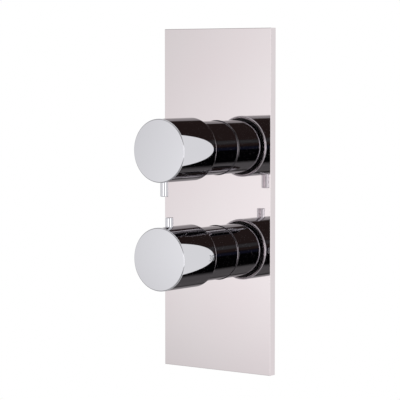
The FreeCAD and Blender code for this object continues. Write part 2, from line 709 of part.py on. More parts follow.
def adaptor(side, height):
    """Extension tube with a splined socket behind and a web for its screw."""
    label = f"{side}_handle_adaptor"
    body = turned(label, [
        ("adaptor_bore / 2", "adaptor_front"),
        ("adaptor_radius - edge_bevel", "adaptor_front"),
        ("adaptor_radius", "adaptor_front + edge_bevel"),
        ("adaptor_radius", "spline_rear"),
        (0, "spline_rear"),
        (0, "web_front"),
        ("adaptor_bore / 2", "web_front"),
    ])
    screw = sketch(body, f"{label}_screw_outline", "XZ_Plane", "-spline_rear")
    circle(screw, "screw_diameter / 2 + fit_gap")
    pocket(body, f"{label}_screw_hole", screw, "spline_length + adaptor_web", backwards=True)
    teeth = sketch(body, f"{label}_spline_outline", "XZ_Plane", "-spline_rear")
    spline(teeth, "2 * fit_gap")
    pocket(body, f"{label}_spline", teeth, "spline_length", backwards=True)
    node(place(body, (0, 0, height)), label)


def adaptor_screw(side, height):
    label = f"{side}_adaptor_screw"
    body = turned(label, [
        (0, "web_front - screw_head_length"),
        ("screw_head / 2 - edge_bevel", "web_front - screw_head_length"),
        ("screw_head / 2", "web_front - screw_head_length + edge_bevel"),
        ("screw_head / 2", "web_front"),
        ("screw_diameter / 2", "web_front"),
        ("screw_diameter / 2", "web_front + screw_length"),
        (0, "web_front + screw_length"),
    ])
    socket = sketch(body, f"{label}_socket_outline", "XZ_Plane", "screw_head_length - web_front")
    hexagon(socket, "screw_socket")
    pocket(body, f"{label}_socket", socket, "screw_head_length / 2")
    node(place(body, (0, 0, height)), label)


def spindle(label, height, tail):
    """Splined spindle with a screw hole in front, two O-ring grooves and a flange."""
    groove_floor = "(neck_bore - fit_gap - spindle_seal_section)"
    core = "spline_diameter / 2 - spline_depth - fit_gap"
    corners = [
        (0, "spindle_front"),
        (core, "spindle_front"),
        (core, "spline_rear"),
        ("spindle_radius", "spline_rear"),
    ]
    for index in range(2):
        middle = f"(neck_front + spindle_seal_depth + {index} * spindle_seal_pitch)"
        half = "(spindle_seal_section / 2 + 2 * fit_gap)"
        corners += [
            ("spindle_radius", f"{middle} - {half}"),
            (groove_floor, f"{middle} - {half}"),
            (groove_floor, f"{middle} + {half}"),
            ("spindle_radius", f"{middle} + {half}"),
        ]
    corners += [
        ("spindle_radius", "flange_front"),
        ("spindle_flange / 2", "flange_front"),
        ("spindle_flange / 2", "flange_rear"),
    ]
    body = turned(label, corners + tail)
    teeth = sketch(body, f"{label}_spline_outline", "XZ_Plane", "-spline_rear")
    spline(teeth, "0")
    pad(body, f"{label}_spline", teeth, "spline_length")
    hole = sketch(body, f"{label}_hole_outline", "XZ_Plane", "-spindle_front")
    circle(hole, "screw_diameter / 2 + fit_gap")
    pocket(body, f"{label}_hole", hole, "screw_length - adaptor_web + screw_tip_gap")
    node(place(body, (0, 0, height)), label)
    return body


def spindle_seals(side, height):
    rings = []
    for index in range(2):
        middle = f"neck_front + spindle_seal_depth + {index} * spindle_seal_pitch"
        radius = "neck_bore - fit_gap - spindle_seal_section / 2"
        rings.append(o_ring(f"{side}_spindle_seal_{index + 1}", radius, "spindle_seal_section",
                            (0, middle, height)))
    group(f"{side}_spindle_seals", rings)


def lever_pin():
    """Lever pin that points down from the upper knob."""
    knob_body = knob("diverter_knob", UPPER)
    seat = "(-knob_radius + pin_seat_depth)"
    spot = sketch(knob_body, "pin_seat_outline", "XY_Plane", "-knob_radius")
    circle(spot, "pin_diameter / 2 + fit_gap", 0, "pin_place")
    pocket(knob_body, "pin_seat", spot, "pin_seat_depth", backwards=True)
    thread = sketch(knob_body, "pin_thread_outline", "XY_Plane", seat)
    circle(thread, "pin_thread / 2 + fit_gap", 0, "pin_place")
    pocket(knob_body, "pin_thread_hole", thread, "pin_thread_length + seat_gap", backwards=True)
    tip = "(-knob_radius - pin_reach)"
    body = turned("diverter_lever_pin", [
        (0, f"{seat} + pin_thread_length"),
        ("pin_thread / 2", f"{seat} + pin_thread_length"),
        ("pin_thread / 2", seat),
        ("pin_diameter / 2", seat),
        ("pin_diameter / 2", f"{tip} + edge_bevel"),
        ("pin_diameter / 2 - edge_bevel", tip),
        (0, tip),
    ], "XZ_Plane")
    node(place(body, (0, "pin_place", UPPER)), "diverter_lever_pin")


def stop_button():
    """Lower knob with its sprung button, which lets the handle turn past the stop."""
    knob_body = knob("temperature_knob", LOWER)
    well = sketch(knob_body, "button_well_outline", "XY_Plane", "knob_radius")
    circle(well, "button_diameter / 2 + button_well_gap", 0, "clamp_place")
    pocket(knob_body, "button_well", well, "knob_radius - well_floor")
    hole = sketch(knob_body, "button_hole_outline", "XY_Plane", "well_floor")
    circle(hole, "button_tail / 2 + button_tail_gap", 0, "clamp_place")
    pocket(knob_body, "button_hole", hole, "well_floor - knob_narrow + seat_gap")
    body = turned("stop_button", [
        (0, "tail_end"),
        ("button_tail / 2", "tail_end"),
        ("button_tail / 2", "button_bottom"),
        ("button_diameter / 2", "button_bottom"),
        ("button_diameter / 2", "button_top - edge_bevel"),
        ("button_diameter / 2 - edge_bevel", "button_top"),
        (0, "button_top"),
    ], "XZ_Plane")
    node(place(body, (0, "clamp_place", LOWER)), "stop_button")
    clip = ring("stop_button_clip", "button_tail / 2 + fit_gap", "clip_diameter / 2",
                "clip_bottom", "clip_top", "XZ_Plane")
    node(place(clip, (0, "clamp_place", LOWER)), "stop_button_clip")
    coil("stop_button_spring", "button_tail / 2 + seat_gap + button_spring_wire / 2",
         "button_spring_wire", "(clip_bottom - hub_radius)", "button_spring_turns",
         (0, "clamp_place", f"{LOWER} + hub_radius"), angle=0)


def temperature_stop_ring():
    """Fixed ring on the lower sleeve with the lug that marks 38 degrees Celsius.

    The lug stands on the side that the button turns towards for hotter water.
    """
    bore = "(stop_ring_radius - stop_ring_wall)"
    body = turned("temperature_stop_ring", [
        (bore, "stop_ring_front"),
        ("stop_ring_radius", "stop_ring_front"),
        ("stop_ring_radius", "sleeve_front - stop_ring_flange"),
        ("knob_bore - seat_gap - fit_gap", "sleeve_front - stop_ring_flange"),
        ("knob_bore - seat_gap - fit_gap", "sleeve_front"),
        ("sleeve_bore - fit_gap", "sleeve_front"),
        ("sleeve_bore - fit_gap", "sleeve_front + stop_ring_spigot"),
        (bore, "sleeve_front + stop_ring_spigot"),
    ])
    lug = sketch(body, "stop_lug_outline", "XZ_Plane", "-stop_ring_front")
    near = "(button_tail / 2 + seat_gap)"
    rectangle(lug, f"-{near} - stop_lug_width", f"-{near}", f"{bore} + edge_bevel",
              "stop_ring_radius - stop_lug_inset")
    pad(body, "stop_lug", lug, "stop_lug_height")
    node(place(body, (0, 0, LOWER)), "temperature_stop_ring")


# ---------------------------------------------------------------------------------
# Cast body with its two cartridge barrels, four ports and inner waterways
# ---------------------------------------------------------------------------------

def barrel(body, side, height):
    radius = "barrel_diameter / 2"
    revolve(body, f"{side}_barrel", [
        (0, "barrel_recess"),
        (f"{radius} - body_bevel", "barrel_recess"),
        (radius, "barrel_recess + body_bevel"),
        (radius, "body_back - body_bevel"),
        (f"{radius} - body_bevel", "body_back"),
        (0, "body_back"),
    ], offset=height)


def port_boss(body, name, plane, at, reach, diameter, backwards=False, middle=False):
    drawing = sketch(body, f"{name}_outline", plane, at[2])
    circle(drawing, f"{diameter} / 2", at[0], at[1])
    length = f"2 * ({reach})" if middle else reach
    pad(body, name, drawing, length, backwards, middle)


def drilling(body, name, plane, start, x, y, diameter, depth, backwards=False):
    """Drill a round hole from a plane parallel to one of the origin planes."""
    drawing = sketch(body, f"{name}_outline", plane, start)
    circle(drawing, f"({diameter}) / 2", x, y)
    pocket(body, name, drawing, depth, backwards)


def cast_body():
    body = new_body("valve_body")
    barrel(body, "upper", UPPER)
    barrel(body, "lower", LOWER)
    bridge = sketch(body, "bridge_outline", "XZ_Plane", "-body_back")
    rectangle(bridge, "-bridge_width / 2", "bridge_width / 2", LOWER, UPPER)
    pad(body, "bridge", bridge, "bridge_depth")
    port_boss(body, "inlet_bosses", "YZ_Plane", ("inlet_depth", LOWER, 0),
              "port_boss_reach", "port_boss", middle=True)
    port_boss(body, "side_outlet_boss", "YZ_Plane", ("outlet_depth", UPPER, 0),
              "port_boss_reach", "port_boss")
    port_boss(body, "top_outlet_boss", "XY_Plane", (0, "outlet_depth", UPPER),
              "port_boss_reach", "port_boss")
    port_boss(body, "plug_boss", "XY_Plane", (0, "outlet_depth", LOWER),
              "plug_boss_reach", "plug_boss", backwards=True)

    groove(body, "diverter_bore", [
        (0, "barrel_recess"),
        ("nut_thread / 2 + fit_gap", "barrel_recess"),
        ("nut_thread / 2 + fit_gap", "shoulder"),
        ("bore_radius", "shoulder"),
        ("bore_radius", "diverter_floor"),
        (0, "diverter_floor"),
    ], offset=UPPER)
    corners = [
        (0, "barrel_recess"),
        ("nut_thread / 2 + fit_gap", "barrel_recess"),
        ("nut_thread / 2 + fit_gap", "shoulder"),
        ("bore_radius", "shoulder"),
    ]
    for seat in ("cold_seat", "hot_seat"):
        corners += [
            ("bore_radius", f"{seat} - annulus_length / 2"),
            ("bore_radius + annulus_depth", f"{seat} - annulus_length / 2"),
            ("bore_radius + annulus_depth", f"{seat} + annulus_length / 2"),
            ("bore_radius", f"{seat} + annulus_length / 2"),
        ]
    corners += [("bore_radius", "thermo_floor"), (0, "thermo_floor")]
    groove(body, "thermostat_bore", corners, offset=LOWER)

    end = "port_boss_reach"
    inward = f"{end} - bore_radius + annulus_depth / 2"
    for side, start, seat, flip in (("cold", end, "cold_seat", False),
                                    ("hot", f"-{end}", "hot_seat", True)):
        drilling(body, f"{side}_inlet_thread", "YZ_Plane", start, "inlet_depth", LOWER,
                 "port_thread", "port_thread_length", flip)
        drilling(body, f"{side}_inlet_passage", "YZ_Plane", start, seat, LOWER,
                 "inlet_passage", inward, flip)
    drilling(body, "side_outlet_thread", "YZ_Plane", end, "outlet_depth", UPPER,
             "port_thread", "port_thread_length")
    drilling(body, "side_outlet_passage", "YZ_Plane", end, "outlet_depth",
             f"{UPPER} + outlet_offset", "outlet_passage", f"{end} - outlet_side + passage_overrun")
    top = f"{UPPER} + port_boss_reach"
    drilling(body, "top_outlet_thread", "XY_Plane", top, 0, "outlet_depth",
             "port_thread", "port_thread_length")
    drilling(body, "top_outlet_passage", "XY_Plane", top, "-outlet_side", "outlet_depth",
             "outlet_passage", f"{end} - outlet_offset + passage_overrun")
    bottom = f"{LOWER} - plug_boss_reach"
    drilling(body, "plug_thread", "XY_Plane", bottom, 0, "outlet_depth",
             "plug_thread", "plug_thread_length", True)
    drilling(body, "waterway", "XY_Plane", bottom, 0, "outlet_depth",
             "waterway", "plug_boss_reach + handle_pitch - port_circle / 2 + passage_overrun", True)

    ports = sketch(body, "diverter_ports_outline", "XZ_Plane", "-diverter_floor")
    for x, y in port_centres(UPPER):
        circle(ports, "disc_port / 2", x, y)
    pocket(body, "diverter_ports", ports, "outlet_depth - diverter_floor + passage_overrun")
    screws = sketch(body, "bracket_threads_outline", "XZ_Plane", "-body_back")
    for x, y in body_screw_centres():
        circle(screws, "body_screw / 2 + fit_gap", x, y)
    pocket(body, "bracket_threads", screws, "body_screw_length - bracket_sheet + seat_gap",
           backwards=True)
    node(body, "valve_body")


def port_centres(height):
    """The diverter's inlet port below and its two outlet ports above, left and right."""
    return [(0, f"{height} - port_circle / 2"),
            ("outlet_side", f"{height} + outlet_offset"),
            ("-outlet_side", f"{height} + outlet_offset")]


def body_screw_centres():
    return [(f"{sign} * body_screw_spread / 2", height)
            for height in (UPPER, LOWER) for sign in (1, -1)]


def waterway_plug():
    """Plug in the drilling that joins the two barrels, with its washer."""
    face = "(-plug_boss_reach)"
    under = "(-plug_boss_reach - washer_thickness)"
    body = turned("waterway_plug", [
        (0, f"{face} + plug_thread_length - seat_gap"),
        ("plug_thread / 2 - fit_gap", f"{face} + plug_thread_length - seat_gap"),
        ("plug_thread / 2 - fit_gap", under),
        ("plug_head / 2", under),
        ("plug_head / 2", f"{under} - plug_head_length + edge_bevel"),
        ("plug_head / 2 - edge_bevel", f"{under} - plug_head_length"),
        (0, f"{under} - plug_head_length"),
    ], "XZ_Plane")
    socket = sketch(body, "plug_socket_outline", "XY_Plane", f"{under} - plug_head_length")
    hexagon(socket, "plug_socket")
    pocket(body, "plug_socket", socket, "plug_head_length", backwards=True)
    node(place(body, (0, "outlet_depth", LOWER)), "waterway_plug")
    washer = ring("plug_washer", "plug_thread / 2 + fit_gap", "plug_head / 2",
                  under, face, "XZ_Plane")
    node(place(washer, (0, "outlet_depth", LOWER)), "plug_washer")


def retaining_nut(side, height):
    """Nut that screws into the barrel, holds the cartridge and carries the sleeve."""
    label = f"{side}_retaining_nut"
    bore = "neck_diameter / 2 + nut_neck_gap"
    floor = "(sleeve_bore - fit_gap - sleeve_seal_section)"
    half = "(sleeve_seal_section / 2 + 4 * fit_gap)"
    body = turned(label, [
        (bore, "nut_front"),
        ("collar_radius - edge_bevel", "nut_front"),
        ("collar_radius", "nut_front + edge_bevel"),
        ("collar_radius", f"nut_seal - {half}"),
        (floor, f"nut_seal - {half}"),
        (floor, f"nut_seal + {half}"),
        ("collar_radius", f"nut_seal + {half}"),
        ("collar_radius", "barrel_recess"),
        ("nut_thread / 2", "barrel_recess"),
        ("nut_thread / 2", "shoulder"),
        (bore, "shoulder"),
    ])
    head = sketch(body, f"{label}_hexagon_outline", "XZ_Plane", "-nut_front")
    hexagon(head, "nut_hexagon")
    circle(head, bore)
    pad(body, f"{label}_hexagon", head, "nut_hexagon_length")
    node(place(body, (0, 0, height)), label)
    radius = "sleeve_bore - fit_gap - sleeve_seal_section / 2"
    return o_ring(f"{side}_sleeve_seal", radius, "sleeve_seal_section", (0, "nut_seal", height))


# ---------------------------------------------------------------------------------
# Ports: connectors, washers, check valves and filters
# ---------------------------------------------------------------------------------

# Each port's name, its origin and the turn that points the pieces' own +Y out of it
PORTS = [
    ("hot_inlet", (0, "inlet_depth", LOWER), (0, 0, 1), 90),
    ("cold_inlet", (0, "inlet_depth", LOWER), (0, 0, 1), -90),
    ("side_outlet", (0, "outlet_depth", UPPER), (0, 0, 1), -90),
    ("top_outlet", (0, "outlet_depth", UPPER), (1, 0, 0), 90),
]


def connector(port, at, axis, angle):
    """Brass connector: threaded spigot inside, hexagon, and a female thread outside."""
    label = f"{port}_connector"
    spigot = "port_thread / 2 - fit_gap"
    body = turned(label, [
        ("connector_bore / 2", "connector_inner"),
        (f"{spigot} - edge_bevel", "connector_inner"),
        (spigot, "connector_inner + edge_bevel"),
        (spigot, "hexagon_outer"),
        ("connector_diameter / 2", "hexagon_outer"),
        ("connector_diameter / 2", "connector_reach - edge_bevel"),
        ("connector_diameter / 2 - edge_bevel", "connector_reach"),
        ("connector_thread / 2", "connector_reach"),
        ("connector_thread / 2", "thread_floor"),
        ("connector_bore / 2", "thread_floor"),
    ])
    head = sketch(body, f"{label}_hexagon_outline", "XZ_Plane", "-hexagon_outer")
    hexagon(head, "connector_hexagon")
    circle(head, spigot + " - fit_gap")
    pad(body, f"{label}_hexagon", head, "connector_hexagon_length")
    node(place(body, at, axis, angle), label)


def port_washers():
    washers = []
    for port, at, axis, angle in PORTS:
        washer = ring(f"{port}_washer", "port_thread / 2 + fit_gap", "connector_diameter / 2",
                      "port_boss_reach", "hexagon_inner")
        washers.append(place(washer, at, axis, angle))
    group("port_washers", washers)


def check_valve(port, at, axis, angle):
    """Check valve in an inlet: body with seat and spider, poppet and spring."""
    side = port.split("_")[0]
    label = f"{side}_check_valve_body"
    hollow = "(check_radius - check_wall)"
    body = turned(label, [
        ("poppet_stem / 2 + fit_gap", "check_inner"),
        ("check_radius", "check_inner"),
        ("check_radius", "check_outer"),
        ("check_seat_bore / 2", "check_outer"),
        ("check_seat_bore / 2", "seat_inner"),
        (hollow, "seat_inner"),
        (hollow, "spider_outer"),
        ("poppet_stem / 2 + fit_gap", "spider_outer"),
    ])
    hole = sketch(body, f"{label}_hole_outline", "XZ_Plane", "-check_inner")
    circle(hole, "check_hole / 2", "(poppet_stem / 2 + check_radius - check_wall) / 2", 0)
    drilled = pocket(body, f"{label}_hole", hole, "check_spider")
    repeat_round(body, f"{label}_holes", drilled, "Y_Axis", "check_holes")
    node(place(body, at, axis, angle), label)

    poppet = turned(f"{side}_check_poppet", [
        (0, "poppet_tip"),
        ("poppet_stem / 2", "poppet_tip"),
        ("poppet_stem / 2", "poppet_back"),
        ("poppet_head / 2", "poppet_back"),
        ("poppet_head / 2", "seat_inner - fit_gap"),
        (0, "seat_inner - fit_gap"),
    ])
    node(place(poppet, at, axis, angle), f"{side}_check_poppet")

    # The spring's own Z axis lies along the port, from the spider out to the poppet
    direction = 1 if side == "cold" else -1
    start = f"{direction} * spider_outer"
    coil(f"{side}_check_spring", "poppet_stem / 2 + seat_gap + check_spring_wire / 2",
         "check_spring_wire", "(poppet_back - spider_outer)", "check_spring_turns",
         (start, at[1], at[2]), (0, 1, 0), 90 * direction)


def inlet_filter(port, at, axis, angle):
    """Perforated strainer disc in a rim, outside the check valve."""
    side = port.split("_")[0]
    label = f"{side}_inlet_filter"
    front = "(check_outer + seat_gap)"
    mesh = f"{front} + filter_thickness - filter_mesh"
    body = turned(label, [
        (0, mesh),
        ("check_radius - filter_rim", mesh),
        ("check_radius - filter_rim", front),
        ("check_radius", front),
        ("check_radius", f"{front} + filter_thickness"),
        (0, f"{front} + filter_thickness"),
    ])
    hole = sketch(body, f"{label}_hole_outline", "XZ_Plane", f"-({mesh})")
    circle(hole, "filter_hole / 2", "(check_radius - filter_rim + filter_hole / 2) / 2", 0)
    drilled = pocket(body, f"{label}_hole", hole, "filter_mesh")
    repeat_round(body, f"{label}_holes", drilled, "Y_Axis", "filter_holes")
    return place(body, at, axis, angle)


# ---------------------------------------------------------------------------------
# Diverter cartridge
# ---------------------------------------------------------------------------------

def seal_groove(middle):
    """Corners of an O-ring groove in a cartridge's shell."""
    floor = "(bore_radius - fit_gap - body_seal_section)"
    half = "body_seal_groove / 2"
    return [
        ("shell_radius", f"{middle} - {half}"),
        (floor, f"{middle} - {half}"),
        (floor, f"{middle} + {half}"),
        ("shell_radius", f"{middle} + {half}"),
    ]


def body_seal(name, middle, height):
    radius = "bore_radius - fit_gap - body_seal_section / 2"
    return o_ring(name, radius, "body_seal_section", (0, middle, height))


DIVERTER_SEAL = "(shoulder + 2 * body_seal_groove)"


def diverter_shell():
    body = turned("diverter_cartridge_shell", [
        ("neck_bore", "neck_front"),
        ("neck_diameter / 2 - edge_bevel", "neck_front"),
        ("neck_diameter / 2", "neck_front + edge_bevel"),
        ("neck_diameter / 2", "shoulder"),
        ("shell_radius", "shoulder"),
    ] + seal_groove(DIVERTER_SEAL) + [
        ("shell_radius", "diverter_floor"),
        ("diverter_bore", "diverter_floor"),
        ("diverter_bore", "shell_inside"),
        ("neck_bore", "shell_inside"),
    ])
    node(place(body, (0, 0, UPPER)), "diverter_cartridge_shell")


def diverter_base():
    """Base plate with three ports, each with a seal let into its back."""
    body = turned("diverter_base_plate", [
        (0, "base_front"),
        ("diverter_bore - fit_gap", "base_front"),
        ("diverter_bore - fit_gap", "diverter_floor"),
        (0, "diverter_floor"),
    ])
    ports = sketch(body, "base_ports_outline", "XZ_Plane", "-base_front")
    recesses = sketch(body, "base_recesses_outline", "XZ_Plane", "-diverter_floor")
    for x, y in port_centres("0"):
        circle(ports, "disc_port / 2", x, y)
        circle(recesses, "disc_port / 2 + base_seal_width + fit_gap", x, y)
    pocket(body, "base_ports", ports, "diverter_base")
    pocket(body, "base_recesses", recesses, "base_seal_length", backwards=True)
    node(place(body, (0, 0, UPPER)), "diverter_base_plate")
    seals = []
    for index, (x, y) in enumerate(port_centres(UPPER), start=1):
        seal = ring(f"base_seal_{index}", "disc_port / 2 + fit_gap",
                    "disc_port / 2 + base_seal_width",
                    "diverter_floor - base_seal_length", "diverter_floor")
        seals.append(place(seal, (x, 0, y)))
    group("diverter_base_seals", seals)


def ceramic_discs():
    fixed = turned("diverter_fixed_disc", [
        (0, "fixed_disc_front"),
        ("diverter_bore - disc_gap", "fixed_disc_front"),
        ("diverter_bore - disc_gap", "base_front"),
        (0, "base_front"),
    ])
    ports = sketch(fixed, "disc_ports_outline", "XZ_Plane", "-fixed_disc_front")
    for x, y in port_centres("0"):
        circle(ports, "disc_port / 2", x, y)
    pocket(fixed, "disc_ports", ports, "disc_thickness")
    node(place(fixed, (0, 0, UPPER)), "diverter_fixed_disc")

    # The moving disc's slot is cut round +X and then turned to point down
    moving = turned("diverter_moving_disc", [
        (0, "moving_disc_front"),
        ("moving_disc_radius", "moving_disc_front"),
        ("moving_disc_radius", "moving_disc_rear"),
        (0, "moving_disc_rear"),
    ])
    inner = "(port_circle - disc_port) / 2"
    outer = "(port_circle + disc_port) / 2"
    groove(moving, "disc_slot", [
        (inner, "moving_disc_rear - disc_slot_depth"),
        (outer, "moving_disc_rear - disc_slot_depth"),
        (outer, "moving_disc_rear"),
        (inner, "moving_disc_rear"),
    ], angle="disc_slot_angle", middle=True)
    notches = sketch(moving, "disc_notches_outline", "XZ_Plane", "-moving_disc_front")
    carrier_lugs(notches, "fit_gap")
    pocket(moving, "disc_notches", notches, "carrier_lug + seat_gap")
    node(place(moving, (0, 0, UPPER), (0, 1, 0), 90), "diverter_moving_disc")


def carrier_lugs(drawing, gap):
    """Two lugs, one above and one below the axis, wider by a gap."""
    half = f"(carrier_lug_width / 2 + {gap})"
    inner = f"(moving_disc_radius - carrier_lug_depth - {gap})"
    rectangle(drawing, f"-{half}", half, inner, "moving_disc_radius")
    rectangle(drawing, f"-{half}", half, "-moving_disc_radius", f"-{inner}")


def disc_carrier():
    """Plastic carrier that turns the moving disc, drawn and placed as the disc is."""
    body = turned("diverter_disc_carrier", [
        (0, "carrier_front"),
        ("moving_disc_radius - edge_bevel", "carrier_front"),
        ("moving_disc_radius", "carrier_front + edge_bevel"),
        ("moving_disc_radius", "carrier_rear"),
        (0, "carrier_rear"),
    ])
    lugs = sketch(body, "carrier_lugs_outline", "XZ_Plane", "-carrier_rear")
    half = "(carrier_lug_width / 2)"
    edge = "(moving_disc_radius - edge_bevel)"
    inner = "(moving_disc_radius - carrier_lug_depth)"
    rectangle(lugs, f"-{half}", half, inner, edge)
    rectangle(lugs, f"-{half}", half, f"-{edge}", f"-{inner}")
    pad(body, "carrier_lugs", lugs, "carrier_lug", backwards=True)
    drive = sketch(body, "carrier_drive_outline", "XZ_Plane", "-carrier_front")
    hexagon(drive, "drive_hexagon + 2 * fit_gap", turn=90)
    pocket(body, "carrier_drive", drive, "drive_length")
    node(place(body, (0, 0, UPPER), (0, 1, 0), 90), "diverter_disc_carrier")


def diverter_spindle():
    body = spindle("diverter_spindle", UPPER, [(0, "flange_rear")])
    drive = sketch(body, "spindle_drive_outline", "XZ_Plane", "-flange_rear")
    hexagon(drive, "drive_hexagon")
    pad(body, "spindle_drive", drive, "carrier_front - flange_rear + drive_length - seat_gap",
        backwards=True)


# ---------------------------------------------------------------------------------
# Thermostatic cartridge
# ---------------------------------------------------------------------------------

THERMO_SEALS = [
    "(cold_seat - annulus_length / 2 - body_seal_groove)",
    "inlet_depth",
    "((hot_seat + annulus_length / 2 + thermo_shell_end) / 2)",
]


def thermo_shell():
    """Shell with a ring of windows at each seat and two keyways for the regulating nut."""
    corners = [
        ("neck_bore", "neck_front"),
        ("neck_diameter / 2 - edge_bevel", "neck_front"),
        ("neck_diameter / 2", "neck_front + edge_bevel"),
        ("neck_diameter / 2", "shoulder"),
        ("shell_radius", "shoulder"),
    ]
    for middle in THERMO_SEALS:
        corners += seal_groove(middle)
    corners += [
        ("shell_radius", "thermo_shell_end"),
        ("cage_radius + fit_gap", "thermo_shell_end"),
        ("cage_radius + fit_gap", "hot_seat"),
        ("shuttle_bore", "hot_seat"),
        ("shuttle_bore", "cold_seat"),
        ("regulating_bore / 2", "cold_seat"),
        ("regulating_bore / 2", "shell_inside"),
        ("neck_bore", "shell_inside"),
    ]
    body = turned("thermo_cartridge_shell", corners)
    for side, low, high in (("cold", "cold_seat", "cold_seat + window_length"),
                            ("hot", "hot_seat - window_length", "hot_seat")):
        window = sketch(body, f"{side}_window_outline", "XY_Plane", "shell_radius")
        rectangle(window, "-window_width / 2", "window_width / 2", low, high)
        cut = pocket(body, f"{side}_window", window, "shell_radius - shuttle_bore + window_width / 4")
        repeat_round(body, f"{side}_windows", cut, "Y_Axis", "window_count")
    keyways = sketch(body, "keyways_outline", "XZ_Plane", "-cold_seat")
    keys(keyways, "fit_gap", "regulating_bore / 4")
    pocket(body, "keyways", keyways, "cold_seat - shell_inside - seat_gap", backwards=True)
    node(place(body, (0, 0, LOWER)), "thermo_cartridge_shell")


def cartridge_seals():
    """O-rings between both cartridges and the cast body."""
    seals = [body_seal("diverter_body_seal", DIVERTER_SEAL, UPPER)]
    for index, middle in enumerate(THERMO_SEALS, start=1):
        seals.append(body_seal(f"thermo_body_seal_{index}", middle, LOWER))
    group("cartridge_seals", seals)


def keys(drawing, gap, inner):
    """Two keys left and right of the axis, wider by a gap."""
    half = f"(key_width / 2 + {gap})"
    outer = f"(regulating_bore / 2 + key_height + {gap})"
    rectangle(drawing, inner, outer, f"-{half}", half)
    rectangle(drawing, f"-{outer}", f"-({inner})", f"-{half}", half)


def thermo_spindle():
    spindle("thermo_spindle", LOWER, [
        ("regulating_thread / 2", "flange_rear"),
        ("regulating_thread / 2", "stem_end"),
        (0, "stem_end"),
    ])


def regulating_nut():
    """Keyed nut that the spindle's thread moves, with the overtravel spring in its skirt."""
    outer = "(regulating_bore / 2 - 2 * fit_gap)"
    groove_radius = "skirt_bore + snap_ring_width / 2"
    body = turned("regulating_nut", [
        ("regulating_thread / 2 + fit_gap", "nut_rest"),
        (outer, "nut_rest"),
        (outer, "nut_rest + regulating_length"),
        ("skirt_bore", "nut_rest + regulating_length"),
        ("skirt_bore", "cap_rear + snap_ring + 2 * fit_gap"),
        (groove_radius, "cap_rear + snap_ring + 2 * fit_gap"),
        (groove_radius, "cap_rear"),
        ("skirt_bore", "cap_rear"),
        ("skirt_bore", "overtravel_front"),
        ("regulating_thread / 2 + fit_gap", "overtravel_front"),
    ])
    drawing = sketch(body, "nut_keys_outline", "XZ_Plane", "-nut_rest")
    keys(drawing, "0", f"{outer} - regulating_skirt / 2")
    pad(body, "nut_keys", drawing, "key_length", backwards=True)
    node(place(body, (0, 0, LOWER)), "regulating_nut")

    middle = "regulating_thread / 4 + skirt_bore / 2"
    coil("overtravel_spring", middle, "overtravel_wire", "overtravel_length",
         "overtravel_turns", (0, "overtravel_front", LOWER))
    cap = turned("thrust_cap", [
        (0, "overtravel_rear"),
        ("skirt_bore - thrust_cap_gap", "overtravel_rear"),
        ("skirt_bore - thrust_cap_gap", "cap_rear"),
        (0, "cap_rear"),
    ])
    node(place(cap, (0, 0, LOWER)), "thrust_cap")
    snap = ring("thrust_cap_snap_ring", "skirt_bore - snap_ring_width / 2",
                f"{groove_radius} - fit_gap", "cap_rear", "cap_rear + snap_ring")
    node(place(snap, (0, 0, LOWER)), "thrust_cap_snap_ring")


def wax_element():
    """Wax capsule: piston in front, guide, flange and the bulb in the mixed water."""
    flange = "(web_face - wax_flange_length)"
    body = turned("wax_element", [
        (0, "cap_rear"),
        ("piston_diameter / 2", "cap_rear"),
        ("piston_diameter / 2", f"{flange} - guide_length"),
        ("guide_diameter / 2", f"{flange} - guide_length"),
        ("guide_diameter / 2", flange),
        ("wax_flange / 2", flange),
        ("wax_flange / 2", "web_face"),
        ("wax_bulb / 2", "web_face"),
        ("wax_bulb / 2", "web_face + wax_bulb_length - wax_bulb_bevel"),
        ("wax_bulb / 2 - wax_bulb_bevel", "web_face + wax_bulb_length"),
        (0, "web_face + wax_bulb_length"),
    ])
    node(place(body, (0, 0, LOWER)), "wax_element")


def shuttle():
    """Ring that opens one seat as it closes the other, with a drilled web inside."""
    outer = "(shuttle_bore - fit_gap)"
    inner = "(shuttle_bore - fit_gap - shuttle_wall)"
    body = turned("mixing_shuttle", [
        (inner, "shuttle_front"),
        (outer, "shuttle_front"),
        (outer, "shuttle_rear"),
        (inner, "shuttle_rear"),
        (inner, "web_rear"),
        ("wax_bulb / 2 + fit_gap", "web_rear"),
        ("wax_bulb / 2 + fit_gap", "web_face"),
        (inner, "web_face"),
    ])
    hole = sketch(body, "shuttle_hole_outline", "XZ_Plane", "-web_face")
    circle(hole, "shuttle_hole / 2", f"({inner} + wax_flange / 2) / 2", 0)
    drilled = pocket(body, "shuttle_hole", hole, "shuttle_web")
    repeat_round(body, "shuttle_holes", drilled, "Y_Axis", "shuttle_holes")
    node(place(body, (0, 0, LOWER)), "mixing_shuttle")


def end_cage():
    """Cage screwed into the shell: hot seat in front, slots for the mixed water behind."""
    bore = "(cage_radius - cage_seat_wall)"
    body = turned("thermo_end_cage", [
        (bore, "hot_seat"),
        ("cage_radius", "hot_seat"),
        ("cage_radius", "cage_rear - edge_bevel"),
        ("cage_radius - edge_bevel", "cage_rear"),
        (0, "cage_rear"),
        (0, "cage_rear - cage_end"),
        (bore, "cage_rear - cage_end"),
    ])
    hole = sketch(body, "cage_hole_outline", "XZ_Plane", "-cage_rear")
    circle(hole, "cage_hole / 2")
    pocket(body, "cage_hole", hole, "cage_end", backwards=True)
    slot = sketch(body, "cage_slot_outline", "XY_Plane", "cage_radius + seat_gap")
    rectangle(slot, "-cage_slot / 2", "cage_slot / 2", "thermo_shell_end + seat_gap",
              "cage_rear - cage_end - seat_gap")
    cut = pocket(body, "cage_slot", slot, "cage_seat_wall + cage_slot / 4")
    repeat_round(body, "cage_slots", cut, "Y_Axis", "cage_slots")
    node(place(body, (0, 0, LOWER)), "thermo_end_cage")
    coil("return_spring", "return_diameter / 2", "return_wire",
         "(cage_rear - cage_end - (web_rear))", "return_turns",
         (0, "web_rear", LOWER))


